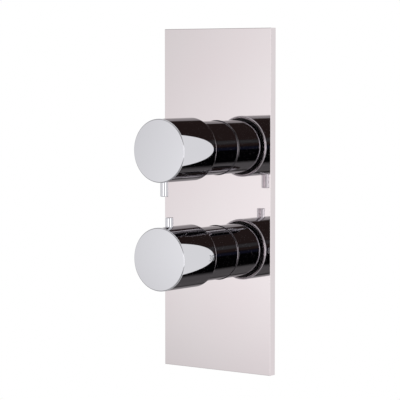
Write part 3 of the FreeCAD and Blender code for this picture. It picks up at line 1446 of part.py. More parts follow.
# ---------------------------------------------------------------------------------
# Bracket behind the body and its screws
# ---------------------------------------------------------------------------------

def fixing_bracket():
    body = new_body("fixing_bracket")
    rear = "-body_back - bracket_sheet"
    blank = sketch(body, "bracket_outline", "XZ_Plane", rear)
    rectangle(blank, "-bracket_width / 2", "bracket_width / 2",
              "-bracket_height / 2", "bracket_height / 2")
    plain = pad(body, "bracket_blank", blank, "bracket_sheet")
    corners = [f"Edge{index}" for index, edge in enumerate(plain.Shape.Edges, start=1)
               if abs(edge.tangentAt(edge.FirstParameter).y) > 0.9]
    rounding = body.newObject("PartDesign::Fillet", "bracket_corners")
    rounding.Base = (plain, corners)
    rounding.setExpression("Radius", bound("bracket_corner"))
    doc.recompute()
    wall_holes = sketch(body, "bracket_wall_holes_outline", "XZ_Plane", rear)
    for across in (1, -1):
        for up in (1, -1):
            circle(wall_holes, "bracket_hole / 2", f"{across} * bracket_hole_width / 2",
                   f"{up} * bracket_hole_height / 2")
    pocket(body, "bracket_wall_holes", wall_holes, "bracket_sheet", backwards=True)
    body_holes = sketch(body, "bracket_body_holes_outline", "XZ_Plane", rear)
    for x, y in body_screw_centres():
        circle(body_holes, "body_screw / 2 + seat_gap", x, y)
    pocket(body, "bracket_body_holes", body_holes, "bracket_sheet", backwards=True)
    node(body, "fixing_bracket")


def bracket_screws():
    face = "(body_back + bracket_sheet)"
    screws = []
    for index, (x, y) in enumerate(body_screw_centres(), start=1):
        body = turned(f"bracket_screw_{index}", [
            (0, f"{face} - body_screw_length"),
            ("body_screw / 2", f"{face} - body_screw_length"),
            ("body_screw / 2", face),
            ("body_screw_head / 2", face),
            ("body_screw_head / 2", f"{face} + body_screw_head_length - edge_bevel"),
            ("body_screw_head / 2 - edge_bevel", f"{face} + body_screw_head_length"),
            (0, f"{face} + body_screw_head_length"),
        ])
        socket = sketch(body, f"bracket_screw_{index}_socket_outline", "XZ_Plane",
                        f"-{face} - body_screw_head_length")
        hexagon(socket, "body_screw_socket")
        pocket(body, f"bracket_screw_{index}_socket", socket, "body_screw_head_length / 2",
               backwards=True)
        screws.append(place(body, (x, 0, y)))
    group("bracket_screws", screws)


# ---------------------------------------------------------------------------------
# The whole valve
# ---------------------------------------------------------------------------------

cover_plate()
plate_gasket()
plate_seals()
cast_body()
waterway_plug()
fixing_bracket()
bracket_screws()
for port in PORTS:
    connector(*port)
port_washers()
for port in PORTS[:2]:
    check_valve(*port)
group("inlet_filters", [inlet_filter(*port) for port in PORTS[:2]])
group("sleeve_seals", [retaining_nut("upper", UPPER), retaining_nut("lower", LOWER)])
for side, height in (("upper", UPPER), ("lower", LOWER)):
    sleeve(side, height)
    glide_ring(side, height)
    grub_screw(side, height)
    adaptor(side, height)
    adaptor_screw(side, height)
    spindle_seals(side, height)
lever_pin()
stop_button()
temperature_stop_ring()
diverter_shell()
diverter_base()
ceramic_discs()
disc_carrier()
diverter_spindle()
thermo_shell()
cartridge_seals()
thermo_spindle()
regulating_nut()
wax_element()
shuttle()
end_cage()
doc.recompute()

for thing in doc.Objects:
    if "Invalid" in thing.State or "Error" in thing.State:
        raise ValueError(f"{thing.Name} did not recompute: {thing.State}")
for thing in NODES:
    if thing.Shape.isNull() or not thing.Shape.isValid() or not thing.Shape.Solids:
        raise ValueError(f"{thing.Label} has no valid solid")

os.makedirs("parts", exist_ok=True)
for thing in NODES:
    thing.Shape.exportStep(f"parts/{thing.Label}.step")
print(f"{len(NODES)} nodes")
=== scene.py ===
# %% [markdown]
# # A concealed shower valve on its wall
#
# The model comes in as a fixed frame of named pieces, each where it belongs. This lesson
# gives the polished pieces that everyone sees smoother and rounder shapes, gives every
# piece a finish, and lights the whole as a small studio would.

# %% Load the frame
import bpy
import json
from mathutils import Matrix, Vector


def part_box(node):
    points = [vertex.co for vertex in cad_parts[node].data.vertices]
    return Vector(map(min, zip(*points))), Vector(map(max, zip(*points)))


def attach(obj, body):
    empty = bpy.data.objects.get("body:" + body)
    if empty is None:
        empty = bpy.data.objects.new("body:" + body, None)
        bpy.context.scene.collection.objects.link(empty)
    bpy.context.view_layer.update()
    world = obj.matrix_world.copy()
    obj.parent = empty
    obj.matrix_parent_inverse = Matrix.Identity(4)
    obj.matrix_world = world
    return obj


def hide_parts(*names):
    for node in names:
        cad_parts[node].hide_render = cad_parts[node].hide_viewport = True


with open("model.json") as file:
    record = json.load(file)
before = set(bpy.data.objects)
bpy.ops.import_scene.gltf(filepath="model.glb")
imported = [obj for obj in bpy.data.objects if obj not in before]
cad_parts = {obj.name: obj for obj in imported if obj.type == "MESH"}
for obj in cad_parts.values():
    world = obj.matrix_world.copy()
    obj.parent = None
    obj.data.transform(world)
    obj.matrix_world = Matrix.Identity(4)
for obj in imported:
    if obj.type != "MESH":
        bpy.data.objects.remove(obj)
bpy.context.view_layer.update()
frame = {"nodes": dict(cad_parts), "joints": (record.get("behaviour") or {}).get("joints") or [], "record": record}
print("pieces in the model:", len(frame["nodes"]))

# %% [markdown]
# Blender's own modules come next. Lengths are in metres, so one named value turns the
# millimetres that a maker thinks in into the script's unit.

# %% Modules and the millimetre
import json
import math

import bmesh
import bpy
from mathutils import Matrix, Vector

MM = 0.001

# %% [markdown]
# Most places can be measured on the model. The two handles turn about the hinges that the
# model declares, and the boxes of plate, knobs and sleeves give everything else that the
# visible shapes need.

# %% Measure the model
joint_of = {joint["name"]: joint for joint in frame["joints"]}
UPPER = joint_of["diverter_turn"]["pos_m"][2]
LOWER = joint_of["temperature_turn"]["pos_m"][2]


def depth_of(node):
    """Place of a piece's middle between the room and the wall."""
    low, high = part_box(node)
    return (low.y + high.y) / 2


plate_low, plate_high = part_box("cover_plate")
knob_low, knob_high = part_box("diverter_knob")
sleeve_low, sleeve_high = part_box("upper_sleeve")
pin_low, pin_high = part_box("diverter_lever_pin")
button_low, button_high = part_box("stop_button")
PIN_DEPTH = depth_of("diverter_lever_pin")
BUTTON_DEPTH = depth_of("stop_button")
KNOB_RADIUS = knob_high.x
KNOB_FRONT = knob_low.y
KNOB_REAR = knob_high.y
SLEEVE_RADIUS = sleeve_high.x
print(f"handle axes at {UPPER / MM:.0f} and {LOWER / MM:.0f} mm, knob {KNOB_RADIUS / MM:.1f} mm")

# %% [markdown]
# The photograph is taken with a long lens from the right, a little above the middle of the
# plate. A long lens keeps upright edges nearly parallel. The camera is placed by its
# distance and two angles, which is how a photographer would describe it.

# %% Camera
CAMERA_PLACE = Vector((1.0104, -1.3740, 0.1158))
CAMERA_YAW = math.radians(36.97)
CAMERA_DIP = math.radians(3.894)
LENS = 174.9

camera_data = bpy.data.cameras.new("camera")
camera_data.lens = LENS
camera_data.sensor_width = 36
camera_data.clip_end = 100
camera = bpy.data.objects.new("camera", camera_data)
bpy.context.scene.collection.objects.link(camera)
camera.location = CAMERA_PLACE
camera.rotation_euler = (math.pi / 2 - CAMERA_DIP, 0, CAMERA_YAW)
bpy.context.scene.camera = camera
bpy.context.scene.view_settings.view_transform = "Standard"
print(f"camera {CAMERA_PLACE.length:.2f} m away, {LENS} mm lens")

# %% [markdown]
# Colours are easiest to pick and compare as the six-digit codes of any paint program.
# Blender's shaders want linear light instead, so one function turns the code into it.
# A second one adds a shader node, sets it up and joins its inputs, which keeps each
# material short enough to read at a glance.

# %% Colours and nodes


def shade(code):
    """Linear colour of an sRGB code such as #c8c9cb."""
    levels = [int(code[i:i + 2], 16) / 255 for i in (1, 3, 5)]
    linear = [v / 12.92 if v <= 0.04045 else ((v + 0.055) / 1.055) ** 2.4 for v in levels]
    return (*linear, 1)


def add(tree, kind, settings=None, **links):
    """Add a node, set its properties and sockets, and link inputs given by name."""
    made = tree.nodes.new(kind)
    for name, value in (settings or {}).items():
        if isinstance(name, int) or name in made.inputs:
            made.inputs[name].default_value = value
        else:
            setattr(made, name, value)
    for name, source in links.items():
        key = int(name[1:]) if name[1:].isdigit() else name.replace("_", " ")
        tree.links.new(source, made.inputs[key])
    return made


def finish(name, base, metallic=0.0, roughness=0.5):
    """Start a material with its plain colour, metallic and roughness."""
    material = bpy.data.materials.new(name)
    material.use_nodes = True
    shader = material.node_tree.nodes["Principled BSDF"]
    shader.inputs["Base Color"].default_value = shade(base)
    shader.inputs["Metallic"].default_value = metallic
    shader.inputs["Roughness"].default_value = roughness
    material.diffuse_color = shade(base)
    return material, material.node_tree, shader


def place_in_mm(tree):
    """The point on the object in millimetres, so that patterns have real sizes."""
    spot = add(tree, "ShaderNodeTexCoord")
    return add(tree, "ShaderNodeVectorMath", {"operation": "SCALE", "Scale": 1 / MM},
               _0=spot.outputs["Object"]).outputs[0]


print("mid grey in linear light:", round(shade("#808080")[0], 3))

# %% [markdown]
# Chrome plate is a mirror. What it shows is the room, so its own colour matters little:
# a neutral grey that gives back about six tenths of the light. The real thing is polished
# by hand on a soft wheel, which leaves the surface a few microns out of true and a haze of
# hairlines finer than the eye can part. Long soft noise in the bump gives the first, short
# noise in the roughness the second. The flat plate takes a little warmth from its
# polishing, and the turned knobs are cooler. Where nobody looks, inside the knobs and on
# the plate's back, the coat is thin and unpolished, so it is rough and shows no image.
# Inside the knobs it is also painted a dark brown-grey. That is painted shade for the deep
# cup that light hardly reaches. The plate's back keeps a pale colour.

# %% Mirror chrome


def mirror_chrome(name, base, clouded, wave_mm, wave_height_mm):
    """Polished plating, with waves of a given length and height in millimetres."""
    material, tree, shader = finish(name, base, metallic=1.0, roughness=0.03)
    spot = place_in_mm(tree)
    wave = add(tree, "ShaderNodeTexNoise", {"Scale": 1 / wave_mm, "Detail": 1.0}, Vector=spot)
    bump = add(tree, "ShaderNodeBump", {"Strength": 1.0, "Distance": wave_height_mm * MM},
               Height=wave.outputs[0])
    haze = add(tree, "ShaderNodeTexNoise", {"Scale": 0.35, "Detail": 6.0, "Roughness": 0.7},
               Vector=spot)
    rough = add(tree, "ShaderNodeMapRange",
                {"From Min": 0.3, "From Max": 0.75, "To Min": 0.018, "To Max": 0.05},
                Value=haze.outputs[0])
    tree.links.new(bump.outputs[0], shader.inputs["Normal"])
    tree.links.new(rough.outputs[0], shader.inputs["Roughness"])
    cloud = add(tree, "ShaderNodeTexNoise", {"Scale": 0.012, "Detail": 2.0}, Vector=spot)
    tint = add(tree, "ShaderNodeMix", {"data_type": "RGBA", 6: shade(base), 7: shade(clouded)},
               _0=cloud.outputs[0])
    tree.links.new(tint.outputs[2], shader.inputs["Base Color"])
    return material


def thin_plating(name, base):
    material, tree, shader = finish(name, base, 1.0, 0.45)
    spot = place_in_mm(tree)
    cloud = add(tree, "ShaderNodeTexNoise", {"Scale": 0.3, "Detail": 4.0}, Vector=spot)
    rough = add(tree, "ShaderNodeMapRange",
                {"From Min": 0.3, "From Max": 0.7, "To Min": 0.35, "To Max": 0.55},
                Value=cloud.outputs[0])
    tree.links.new(rough.outputs[0], shader.inputs["Roughness"])
    return material


plate_chrome = mirror_chrome("chrome_on_polished_plate", "#d9ced1", "#dad5d6", 45, 0.010)
knob_chrome = mirror_chrome("chrome_on_turned_knobs", "#d1d1d5", "#d3d2d7", 30, 0.003)
# The dark colour of the plating inside the knobs is painted shade for the unlit cavity of the cup; its roughness
# is real.
painted_shade_plating = thin_plating("dull_plating_with_painted_shade_in_knobs", "#4b4745")
back_plating = thin_plating("unpolished_plating_on_plate_back", "#b3ada6")
print("chrome finishes:", plate_chrome.name, knob_chrome.name)

# %% [markdown]
# The body behind the wall is cast brass. Sand casting leaves a skin with the grain of the
# moulding sand, about half a millimetre, and a dull, slightly brown tone that is uneven
# from cooling. The connectors are turned from bar on a lathe, so they are brighter, with
# fine tool marks. Real ones are a tenth of a millimetre wide. They are drawn half a
# millimetre wide here, so that they show.

# %% Cast and turned brass


def cast_brass():
    material, tree, shader = finish("sand_cast_brass", "#b08d57", metallic=1.0, roughness=0.45)
    spot = place_in_mm(tree)
    grain = add(tree, "ShaderNodeTexNoise", {"Scale": 2.0, "Detail": 4.0}, Vector=spot)
    bump = add(tree, "ShaderNodeBump", {"Strength": 0.6, "Distance": 0.12 * MM},
               Height=grain.outputs[0])
    patches = add(tree, "ShaderNodeTexNoise", {"Scale": 0.07, "Detail": 3.0}, Vector=spot)
    tone = add(tree, "ShaderNodeValToRGB", Fac=patches.outputs[0])
    tone.color_ramp.elements[0].position = 0.3
    tone.color_ramp.elements[0].color = shade("#9c7a48")
    tone.color_ramp.elements[1].position = 0.7
    tone.color_ramp.elements[1].color = shade("#c4a269")
    tree.links.new(tone.outputs[0], shader.inputs["Base Color"])
    tree.links.new(bump.outputs[0], shader.inputs["Normal"])
    return material


def turned_brass():
    material, tree, shader = finish("turned_brass", "#d2b06b", metallic=1.0, roughness=0.22)
    spot = place_in_mm(tree)
    marks = add(tree, "ShaderNodeTexNoise", {"Scale": 2.0, "Detail": 2.0}, Vector=spot)
    bump = add(tree, "ShaderNodeBump", {"Strength": 0.3, "Distance": 0.03 * MM},
               Height=marks.outputs[0])
    wear = add(tree, "ShaderNodeTexNoise", {"Scale": 0.15, "Detail": 4.0}, Vector=spot)
    rough = add(tree, "ShaderNodeMapRange",
                {"From Min": 0.3, "From Max": 0.7, "To Min": 0.16, "To Max": 0.34},
                Value=wear.outputs[0])
    tree.links.new(rough.outputs[0], shader.inputs["Roughness"])
    tree.links.new(bump.outputs[0], shader.inputs["Normal"])
    return material


cast_brass_finish = cast_brass()
turned_brass_finish = turned_brass()
print("brass finishes:", cast_brass_finish.name, turned_brass_finish.name)

# %% [markdown]
# Everything else is small and mostly hidden: stainless screws and springs, the zinc-plated
# sheet of the bracket, moulded nylon and acetal, black rubber and foam, red fibre washers
# and the white ceramic discs. One recipe serves them all: a plain colour, a mottling that
# darkens it a little, and a grain in the bump. Only the sizes of mottling and grain differ.

# %% Small parts' finishes


def plain_finish(name, light, dark, metallic, roughness, mottle_mm, grain_mm, depth_mm):
    """Finish with mottling and grain of given sizes, the grain with a given depth."""
    material, tree, shader = finish(name, light, metallic, roughness)
    spot = place_in_mm(tree)
    mottle = add(tree, "ShaderNodeTexNoise", {"Scale": 1 / mottle_mm, "Detail": 3.0}, Vector=spot)
    tone = add(tree, "ShaderNodeValToRGB", Fac=mottle.outputs[0])
    tone.color_ramp.elements[0].position = 0.35
    tone.color_ramp.elements[0].color = shade(dark)
    tone.color_ramp.elements[1].position = 0.65
    tone.color_ramp.elements[1].color = shade(light)
    grain = add(tree, "ShaderNodeTexNoise", {"Scale": 1 / grain_mm, "Detail": 3.0}, Vector=spot)
    bump = add(tree, "ShaderNodeBump", {"Strength": 0.5, "Distance": depth_mm * MM},
               Height=grain.outputs[0])
    tree.links.new(tone.outputs[0], shader.inputs["Base Color"])
    tree.links.new(bump.outputs[0], shader.inputs["Normal"])
    return material


finishes = {
    # plated and polished, see above: a mirror
    "chrome": knob_chrome,
    # cast in sand: dull, brown and grainy
    "cast_brass": cast_brass_finish,
    # turned on a lathe: bright yellow
    "turned_brass": turned_brass_finish,
    # rolled threads and formed heads, tumbled: soft bright grey
    "steel": plain_finish("stainless_steel", "#c3c4c6", "#b2b3b5", 1.0, 0.28, 4, 0.6, 0.01),
    # wire drawn through a die: a little darker, with faint streaks
    "spring_steel": plain_finish("drawn_spring_wire", "#bdbec0", "#a4a5a8", 1.0, 0.32,
                                 3, 0.5, 0.01),
    # dipped in a zinc bath: pale, blue-grey clouds
    "zinc_sheet": plain_finish("zinc_plated_sheet", "#c7cbce", "#b9bec2", 1.0, 0.34, 12, 1.0, 0.01),
    # punched sheet steel: matt grey
    "strainer": plain_finish("perforated_strainer", "#b9babc", "#9b9c9e", 1.0, 0.35, 3, 0.5, 0.01),
    # deep-drawn copper: reddish, a little tarnished
    "copper_capsule": plain_finish("drawn_copper", "#c98b63", "#a86c48", 1.0, 0.3, 4, 0.6, 0.01),
    # moulded rubber: near black with a soft sheen
    "rubber": plain_finish("epdm_rubber", "#232323", "#191919", 0.0, 0.55, 5, 0.5, 0.02),
    # foam with closed cells: dark, pitted, no sheen
    "foam": plain_finish("closed_cell_foam", "#34363a", "#222327", 0.0, 0.9, 2, 0.7, 0.15),
    # pressed from soaked paper: brick red and matt
    "fibre": plain_finish("vulcanised_fibre", "#a8503e", "#8c3d2e", 0.0, 0.7, 3, 0.4, 0.03),
    # moulded with glass fibre in it: dark grey, slightly uneven
    "grey_plastic": plain_finish("glass_filled_nylon", "#2c2d2f", "#232426", 0.0, 0.5,
                                 6, 0.6, 0.02),
    # moulded acetal: milky and smooth
    "white_plastic": plain_finish("moulded_acetal", "#e6e5e0", "#dbdad4", 0.0, 0.35, 8, 0.8, 0.01),
    # ceramic lapped flat: cream white and glossy
    "ceramic": plain_finish("lapped_alumina", "#efece4", "#e5e1d6", 0.0, 0.15, 6, 0.3, 0.003),
}
print("finishes:", len(finishes))

# %% [markdown]
# Each model piece names the finish it is made in, so a loop can dress them all. The meshes
# come as flat facets. Blender can blend the light over neighbouring facets, and because
# each machined face came in with an outline of its own, the corners between faces stay
# sharp while round walls become smooth.

# %% Dress the model's pieces
slot_of = {part["node"]: part["material_slot"] for part in frame["record"]["subparts"]}
for name, thing in frame["nodes"].items():
    thing.data.materials.clear()
    thing.data.materials.append(finishes[slot_of[name]])
    thing.data.polygons.foreach_set("use_smooth", [True] * len(thing.data.polygons))
frame["nodes"]["cover_plate"].data.materials[0] = plate_chrome
print("dressed", len(slot_of), "pieces")

# %% [markdown]
# Turned pieces are drawn as a maker draws them: half of the section, spun round the axis.
# No real edge is perfectly sharp, and on chrome it is the tiny rounded edge that catches
# the light, so each corner can be given a radius, drawn as a short arc of four steps.

# %% Rounded sections
ARC_STEPS = 4


def rounded(corners):
    """Outline through (radius, place, rounding) corners, with the roundings as arcs."""
    points = []
    for index, (radius, place, rounding) in enumerate(corners):
        here = Vector((radius, place))
        if not rounding:
            points.append(here)
            continue
        before = Vector(corners[index - 1][:2]) - here
        after = Vector(corners[(index + 1) % len(corners)][:2]) - here
        half = before.angle(after) / 2
        reach = rounding / math.tan(half)
        centre = here + (before.normalized() + after.normalized()).normalized() * (
            rounding / math.sin(half))
        start = here + before.normalized() * reach - centre
        end = here + after.normalized() * reach - centre
        for step in range(ARC_STEPS + 1):
            share = step / ARC_STEPS
            points.append(centre + start.slerp(end, share) * rounding)
    return points


print("a square corner gets", len(rounded([(1, 0, 0), (1, 1, 0.1), (0, 1, 0)])) - 2, "points")

# %% [markdown]
# Spinning makes one ring of points for each point of the section, and a skin joins each
# ring to the next. Blender has a screw modifier for this. Written out, the same skin also
# serves rings that aren't round, such as a hexagon or a thread.

# %% Rings and skins
ROUND_STEPS = 192


def skin(name, rings, closed=False):
    """Mesh through a row of rings; a ring of one point closes an end."""
    mesh = bmesh.new()
    rows = [[mesh.verts.new(point) for point in ring] for ring in rings]
    steps = max(len(row) for row in rows)
    for one, other in zip(rows, rows[1:] + rows[:1] if closed else rows[1:]):
        for step in range(steps):
            around = [row[turn % len(row)] for row, turn in
                      ((one, step), (one, step + 1), (other, step + 1), (other, step))]
            around = list(dict.fromkeys(around))
            if len(around) > 2:
                mesh.faces.new(around)
    bmesh.ops.recalc_face_normals(mesh, faces=mesh.faces)
    data = bpy.data.meshes.new(name)
    mesh.to_mesh(data)
    mesh.free()
    made = bpy.data.objects.new(name, data)
    bpy.context.scene.collection.objects.link(made)
    return made


def turned(name, corners, closed=False, upright=False):
    """Spin a section round the Y axis, or round the upright axis, at the origin."""
    rings = []
    for radius, place in rounded(corners):
        steps = ROUND_STEPS if radius > 0 else 1
        turns = [2 * math.pi * step / steps for step in range(steps)]
        rings.append([Vector((radius * math.cos(turn), place, radius * math.sin(turn)))
                      for turn in turns])
    made = skin(name, rings, closed)
    if upright:
        made.data.transform(Matrix.Rotation(math.pi / 2, 4, "X"))
    return made


print("each round edge has", ROUND_STEPS, "sides")

# %% [markdown]
# Two small helpers finish every new piece. Walls that meet at a shallow angle share their
# light, so that they look round, and big flat faces keep their own. Pieces are moved by
# their points, so that an object's origin stays at the frame's.

# %% Smooth light and moving
SHALLOW_DEGREES = 25


def smooth(made):
    """Blend the light over faces that meet at a shallow angle."""
    made.data.polygons.foreach_set("use_smooth", [True] * len(made.data.polygons))
    made.data.set_sharp_from_angle(angle=math.radians(SHALLOW_DEGREES))
    weighted = made.modifiers.new("even_normals", "WEIGHTED_NORMAL")
    weighted.keep_sharp = True
    weighted.weight = 80


def shift(made, y=0.0, z=0.0):
    """Move a piece's points towards the wall or upwards."""
    made.data.transform(Matrix.Translation((0, y, z)))


print("faces share their light below", SHALLOW_DEGREES, "degrees")

# %% [markdown]
# The two sleeves are plain tubes that stay still. Each goes through the plate to the body
# with a narrow gap all round, and its front end is hidden in the knob. The section is a
# closed ring of four rounded corners, so the same spin gives both walls and both ends.

# %% Sleeves
SLEEVE_WALL = 2 * MM
EDGE = 0.35 * MM

for side, height in (("upper", UPPER), ("lower", LOWER)):
    inner = SLEEVE_RADIUS - SLEEVE_WALL
    tube = turned(f"{side}_chrome_sleeve", [
        (inner, sleeve_low.y, EDGE),
        (SLEEVE_RADIUS, sleeve_low.y, EDGE),
        (SLEEVE_RADIUS, sleeve_high.y, EDGE),
        (inner, sleeve_high.y, EDGE),
    ], closed=True)
    smooth(tube)
    shift(tube, z=height)
    tube.data.materials.append(knob_chrome)
    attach(tube, "valve")
    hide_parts(f"{side}_sleeve")
print("sleeves", round(2 * SLEEVE_RADIUS / MM, 1), "mm across")

# %% [markdown]
# Each knob is a deep cup with a hub in the middle that grips the valve's spindle. The
# section follows the real one, also inside. Holes for the grub screw, the lever pin and
# the button are drilled afterwards, as on the real knob: a round bar is taken away from
# the cup. The bar is turned by half a step first, because a clean cut needs corners that
# don't fall on corners.

# %% Knobs
KNOB_FACE = 5 * MM
KNOB_THICK_WALL = 6.6 * MM
KNOB_BORE_GAP = 0.45 * MM
KNOB_BORE_DEPTH = 12.5 * MM
GLIDE_SEAT_DEPTH = 4.5 * MM
GLIDE_SEAT_STEP = 1.5 * MM
HUB_BORE = 8.05 * MM
HUB_RADIUS = 10.05 * MM
HUB_LENGTH = 22.5 * MM
KNOB_EDGE = 0.9 * MM
KNOB_REAR_EDGE = 1.2 * MM
GRUB_RADIUS = 2.55 * MM
BUTTON_WELL = 3.95 * MM
BUTTON_WELL_DEPTH = 4.1 * MM
PIN_SEAT = 3.55 * MM
PIN_SEAT_DEPTH = 0.6 * MM


def bar(name, radius, low, high, y, height):
    """Upright round bar, used as a drill."""
    made = turned(name, [(0, low, 0), (radius, low, 0), (radius, high, 0), (0, high, 0)],
                  upright=True)
    made.data.transform(Matrix.Rotation(math.pi / ROUND_STEPS, 4, "Z"))
    shift(made, y=y, z=height)
    return made


def drill(made, tool):
    """Take a tool's shape away from a piece and throw the tool away."""
    cut = made.modifiers.new("drill", "BOOLEAN")
    cut.operation = "DIFFERENCE"
    cut.solver = "EXACT"
    cut.object = tool
    with bpy.context.temp_override(object=made, active_object=made):
        bpy.ops.object.modifier_apply(modifier=cut.name)
    bpy.data.objects.remove(tool)


def knob(name, height):
    """Cup with its hub and the hole for the grub screw."""
    bore = SLEEVE_RADIUS + KNOB_BORE_GAP
    inside = KNOB_FRONT + KNOB_FACE
    seat = bore + GLIDE_SEAT_STEP
    narrow = KNOB_RADIUS - KNOB_THICK_WALL
    cup = turned(name, [
        (0, KNOB_FRONT, 0),
        (KNOB_RADIUS, KNOB_FRONT, KNOB_EDGE),
        (KNOB_RADIUS, KNOB_REAR, KNOB_REAR_EDGE),
        (seat, KNOB_REAR, 0),
        (seat, KNOB_REAR - GLIDE_SEAT_DEPTH, 0),
        (bore, KNOB_REAR - GLIDE_SEAT_DEPTH, 0),
        (bore, KNOB_REAR - KNOB_BORE_DEPTH, 0),
        (narrow, KNOB_REAR - KNOB_BORE_DEPTH, 0),
        (narrow, inside, 0),
        (HUB_RADIUS, inside, 0),
        (HUB_RADIUS, inside + HUB_LENGTH, 0),
        (HUB_BORE, inside + HUB_LENGTH, 0),
        (HUB_BORE, inside, 0),
        (0, inside, 0),
    ])
    shift(cup, z=height)
    drill(cup, bar("grub_drill", GRUB_RADIUS, -KNOB_RADIUS - EDGE, -HUB_BORE / 2,
                   BUTTON_DEPTH, height))
    cup.data.materials.append(knob_chrome)
    # Second slot: dull plating painted dark, a painted shade for the inside of the cup.
    cup.data.materials.append(painted_shade_plating)
    return cup


def dull_and_shade_inside(cup, height):
    """Give the dull plating, painted dark as shade, to the faces nearer the axis than the rear rim."""
    rim = SLEEVE_RADIUS + KNOB_BORE_GAP + GLIDE_SEAT_STEP + EDGE / 4
    for face in cup.data.polygons:
        spot = face.center - Vector((0, 0, height))
        if spot.y > KNOB_FRONT + KNOB_FACE / 2 and math.hypot(spot.x, spot.z) < rim:
            face.material_index = 1


diverter_cup = knob("diverter_chrome_knob", UPPER)
drill(diverter_cup, bar("seat_drill", PIN_SEAT, -KNOB_RADIUS - EDGE,
                        -KNOB_RADIUS + PIN_SEAT_DEPTH, PIN_DEPTH, UPPER))
smooth(diverter_cup)
dull_and_shade_inside(diverter_cup, UPPER)
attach(diverter_cup, "diverter_handle")
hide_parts("diverter_knob")

temperature_cup = knob("temperature_chrome_knob", LOWER)
drill(temperature_cup, bar("well_drill", BUTTON_WELL, KNOB_RADIUS - BUTTON_WELL_DEPTH,
                           KNOB_RADIUS + EDGE, BUTTON_DEPTH, LOWER))
smooth(temperature_cup)
dull_and_shade_inside(temperature_cup, LOWER)
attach(temperature_cup, "temperature_handle")
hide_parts("temperature_knob")
print("knobs", round(2 * KNOB_RADIUS / MM, 1), "mm across,",
      round((KNOB_REAR - KNOB_FRONT) / MM, 1), "mm long")

# %% [markdown]
# The lower knob carries its stop temperature as an etched number near its rear rim, read
# from the side. Etching eats into the plating and leaves a matt grey surface of small pits.

# %% Etched finish
etched, tree, shader = finish("etched_matt_number", "#6f7073", metallic=0.0, roughness=0.7)
pits = add(tree, "ShaderNodeTexNoise", {"Scale": 6.0, "Detail": 2.0}, Vector=place_in_mm(tree))
bump = add(tree, "ShaderNodeBump", {"Strength": 0.5, "Distance": 0.02 * MM},
           Height=pits.outputs[0])
tree.links.new(bump.outputs[0], shader.inputs["Normal"])

print("number finish:", etched.name)

# %% [markdown]
# The number could be a picture on the knob, but as a shape it stays sharp at any size. It
# starts as flat letters, is cut into thin strips so that it can bend, is wrapped round the
# knob a hair above the chrome, and gets a thickness that reaches into it.

# %% Etched number
MARK_HEIGHT = 5.2 * MM
MARK_PLACE = 3.8 * MM
MARK_RAISE = 0.02 * MM
STRIP = 0.4 * MM
DIGIT_SHARE = 0.7

letters = bpy.data.curves.new("letters", "FONT")
letters.body = "38"
letters.size = MARK_HEIGHT / DIGIT_SHARE
writing = bpy.data.objects.new("letters", letters)
bpy.context.scene.collection.objects.link(writing)
flat = bpy.data.meshes.new_from_object(writing)
bpy.data.objects.remove(writing)
mesh = bmesh.new()
mesh.from_mesh(flat)
wide = max(vertex.co.x for vertex in mesh.verts)
tall_mark = max(vertex.co.y for vertex in mesh.verts)
for step in range(int(tall_mark / STRIP) + 1):
    bmesh.ops.bisect_plane(mesh, geom=mesh.verts[:] + mesh.edges[:] + mesh.faces[:],
                           plane_co=(0, step * STRIP, 0), plane_no=(0, 1, 0))
for vertex in mesh.verts:
    turn = (vertex.co.y - tall_mark / 2) / KNOB_RADIUS
    reach = KNOB_RADIUS + MARK_RAISE
    vertex.co = (reach * math.cos(turn), KNOB_REAR - MARK_PLACE - wide + vertex.co.x,
                 LOWER + reach * math.sin(turn))
bmesh.ops.remove_doubles(mesh, verts=mesh.verts, dist=MARK_RAISE / 4)
bmesh.ops.solidify(mesh, geom=mesh.faces[:], thickness=2 * MARK_RAISE)
bmesh.ops.recalc_face_normals(mesh, faces=mesh.faces)
mesh.to_mesh(flat)
mesh.free()
mark = bpy.data.objects.new("etched_number", flat)
bpy.context.scene.collection.objects.link(mark)
flat.materials.clear()
flat.materials.append(etched)
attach(mark, "temperature_handle")
print("number", round(wide / MM, 1), "mm wide,", round(tall_mark / MM, 1), "mm high")

# %% [markdown]
# The lever pin and the button are small turned bars with a rounded end, so they are spun
# like the knobs and stood upright. The photograph shows them a millimetre thicker than the
# model's solids, and the drawn ones follow it.

# %% Lever pin and stop button
THICKER = 0.5 * MM
PIN_RADIUS = pin_high.x + THICKER
PIN_END = 0.5 * MM
PIN_THREAD = 2 * MM
BUTTON_RADIUS = button_high.x + THICKER
BUTTON_TAIL = 2 * MM
BUTTON_HEAD_LENGTH = 8.6 * MM

pin_seat = UPPER - KNOB_RADIUS + PIN_SEAT_DEPTH
lever = turned("diverter_chrome_pin", [
    (0, pin_high.z, 0),
    (PIN_THREAD, pin_high.z, EDGE),
    (PIN_THREAD, pin_seat, 0),
    (PIN_RADIUS, pin_seat, 0),
    (PIN_RADIUS, pin_low.z, PIN_END),
    (0, pin_low.z, 0),
], upright=True)
shift(lever, y=PIN_DEPTH)
smooth(lever)
lever.data.materials.append(knob_chrome)
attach(lever, "diverter_handle")
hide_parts("diverter_lever_pin")

button_bottom = button_high.z - BUTTON_HEAD_LENGTH
press = turned("temperature_stop_button", [
    (0, button_low.z, 0),
    (BUTTON_TAIL, button_low.z, EDGE),
    (BUTTON_TAIL, button_bottom, 0),
    (BUTTON_RADIUS, button_bottom, 0),
    (BUTTON_RADIUS, button_high.z, PIN_END),
    (0, button_high.z, 0),
], upright=True)
shift(press, y=BUTTON_DEPTH)
smooth(press)
press.data.materials.append(knob_chrome)
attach(press, "stop_button")
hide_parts("stop_button")
print("pin", round(2 * PIN_RADIUS / MM, 1), "mm, button", round(2 * BUTTON_RADIUS / MM, 1), "mm")

# %% [markdown]
# The cover plate is a shallow tray of polished brass, plated. It starts as a block. The
# tray behind and the two sleeve holes are cut out, and then a bevel rounds the edges by
# the small radius that polishing leaves. Faces that look to the wall get the unpolished
# plating.

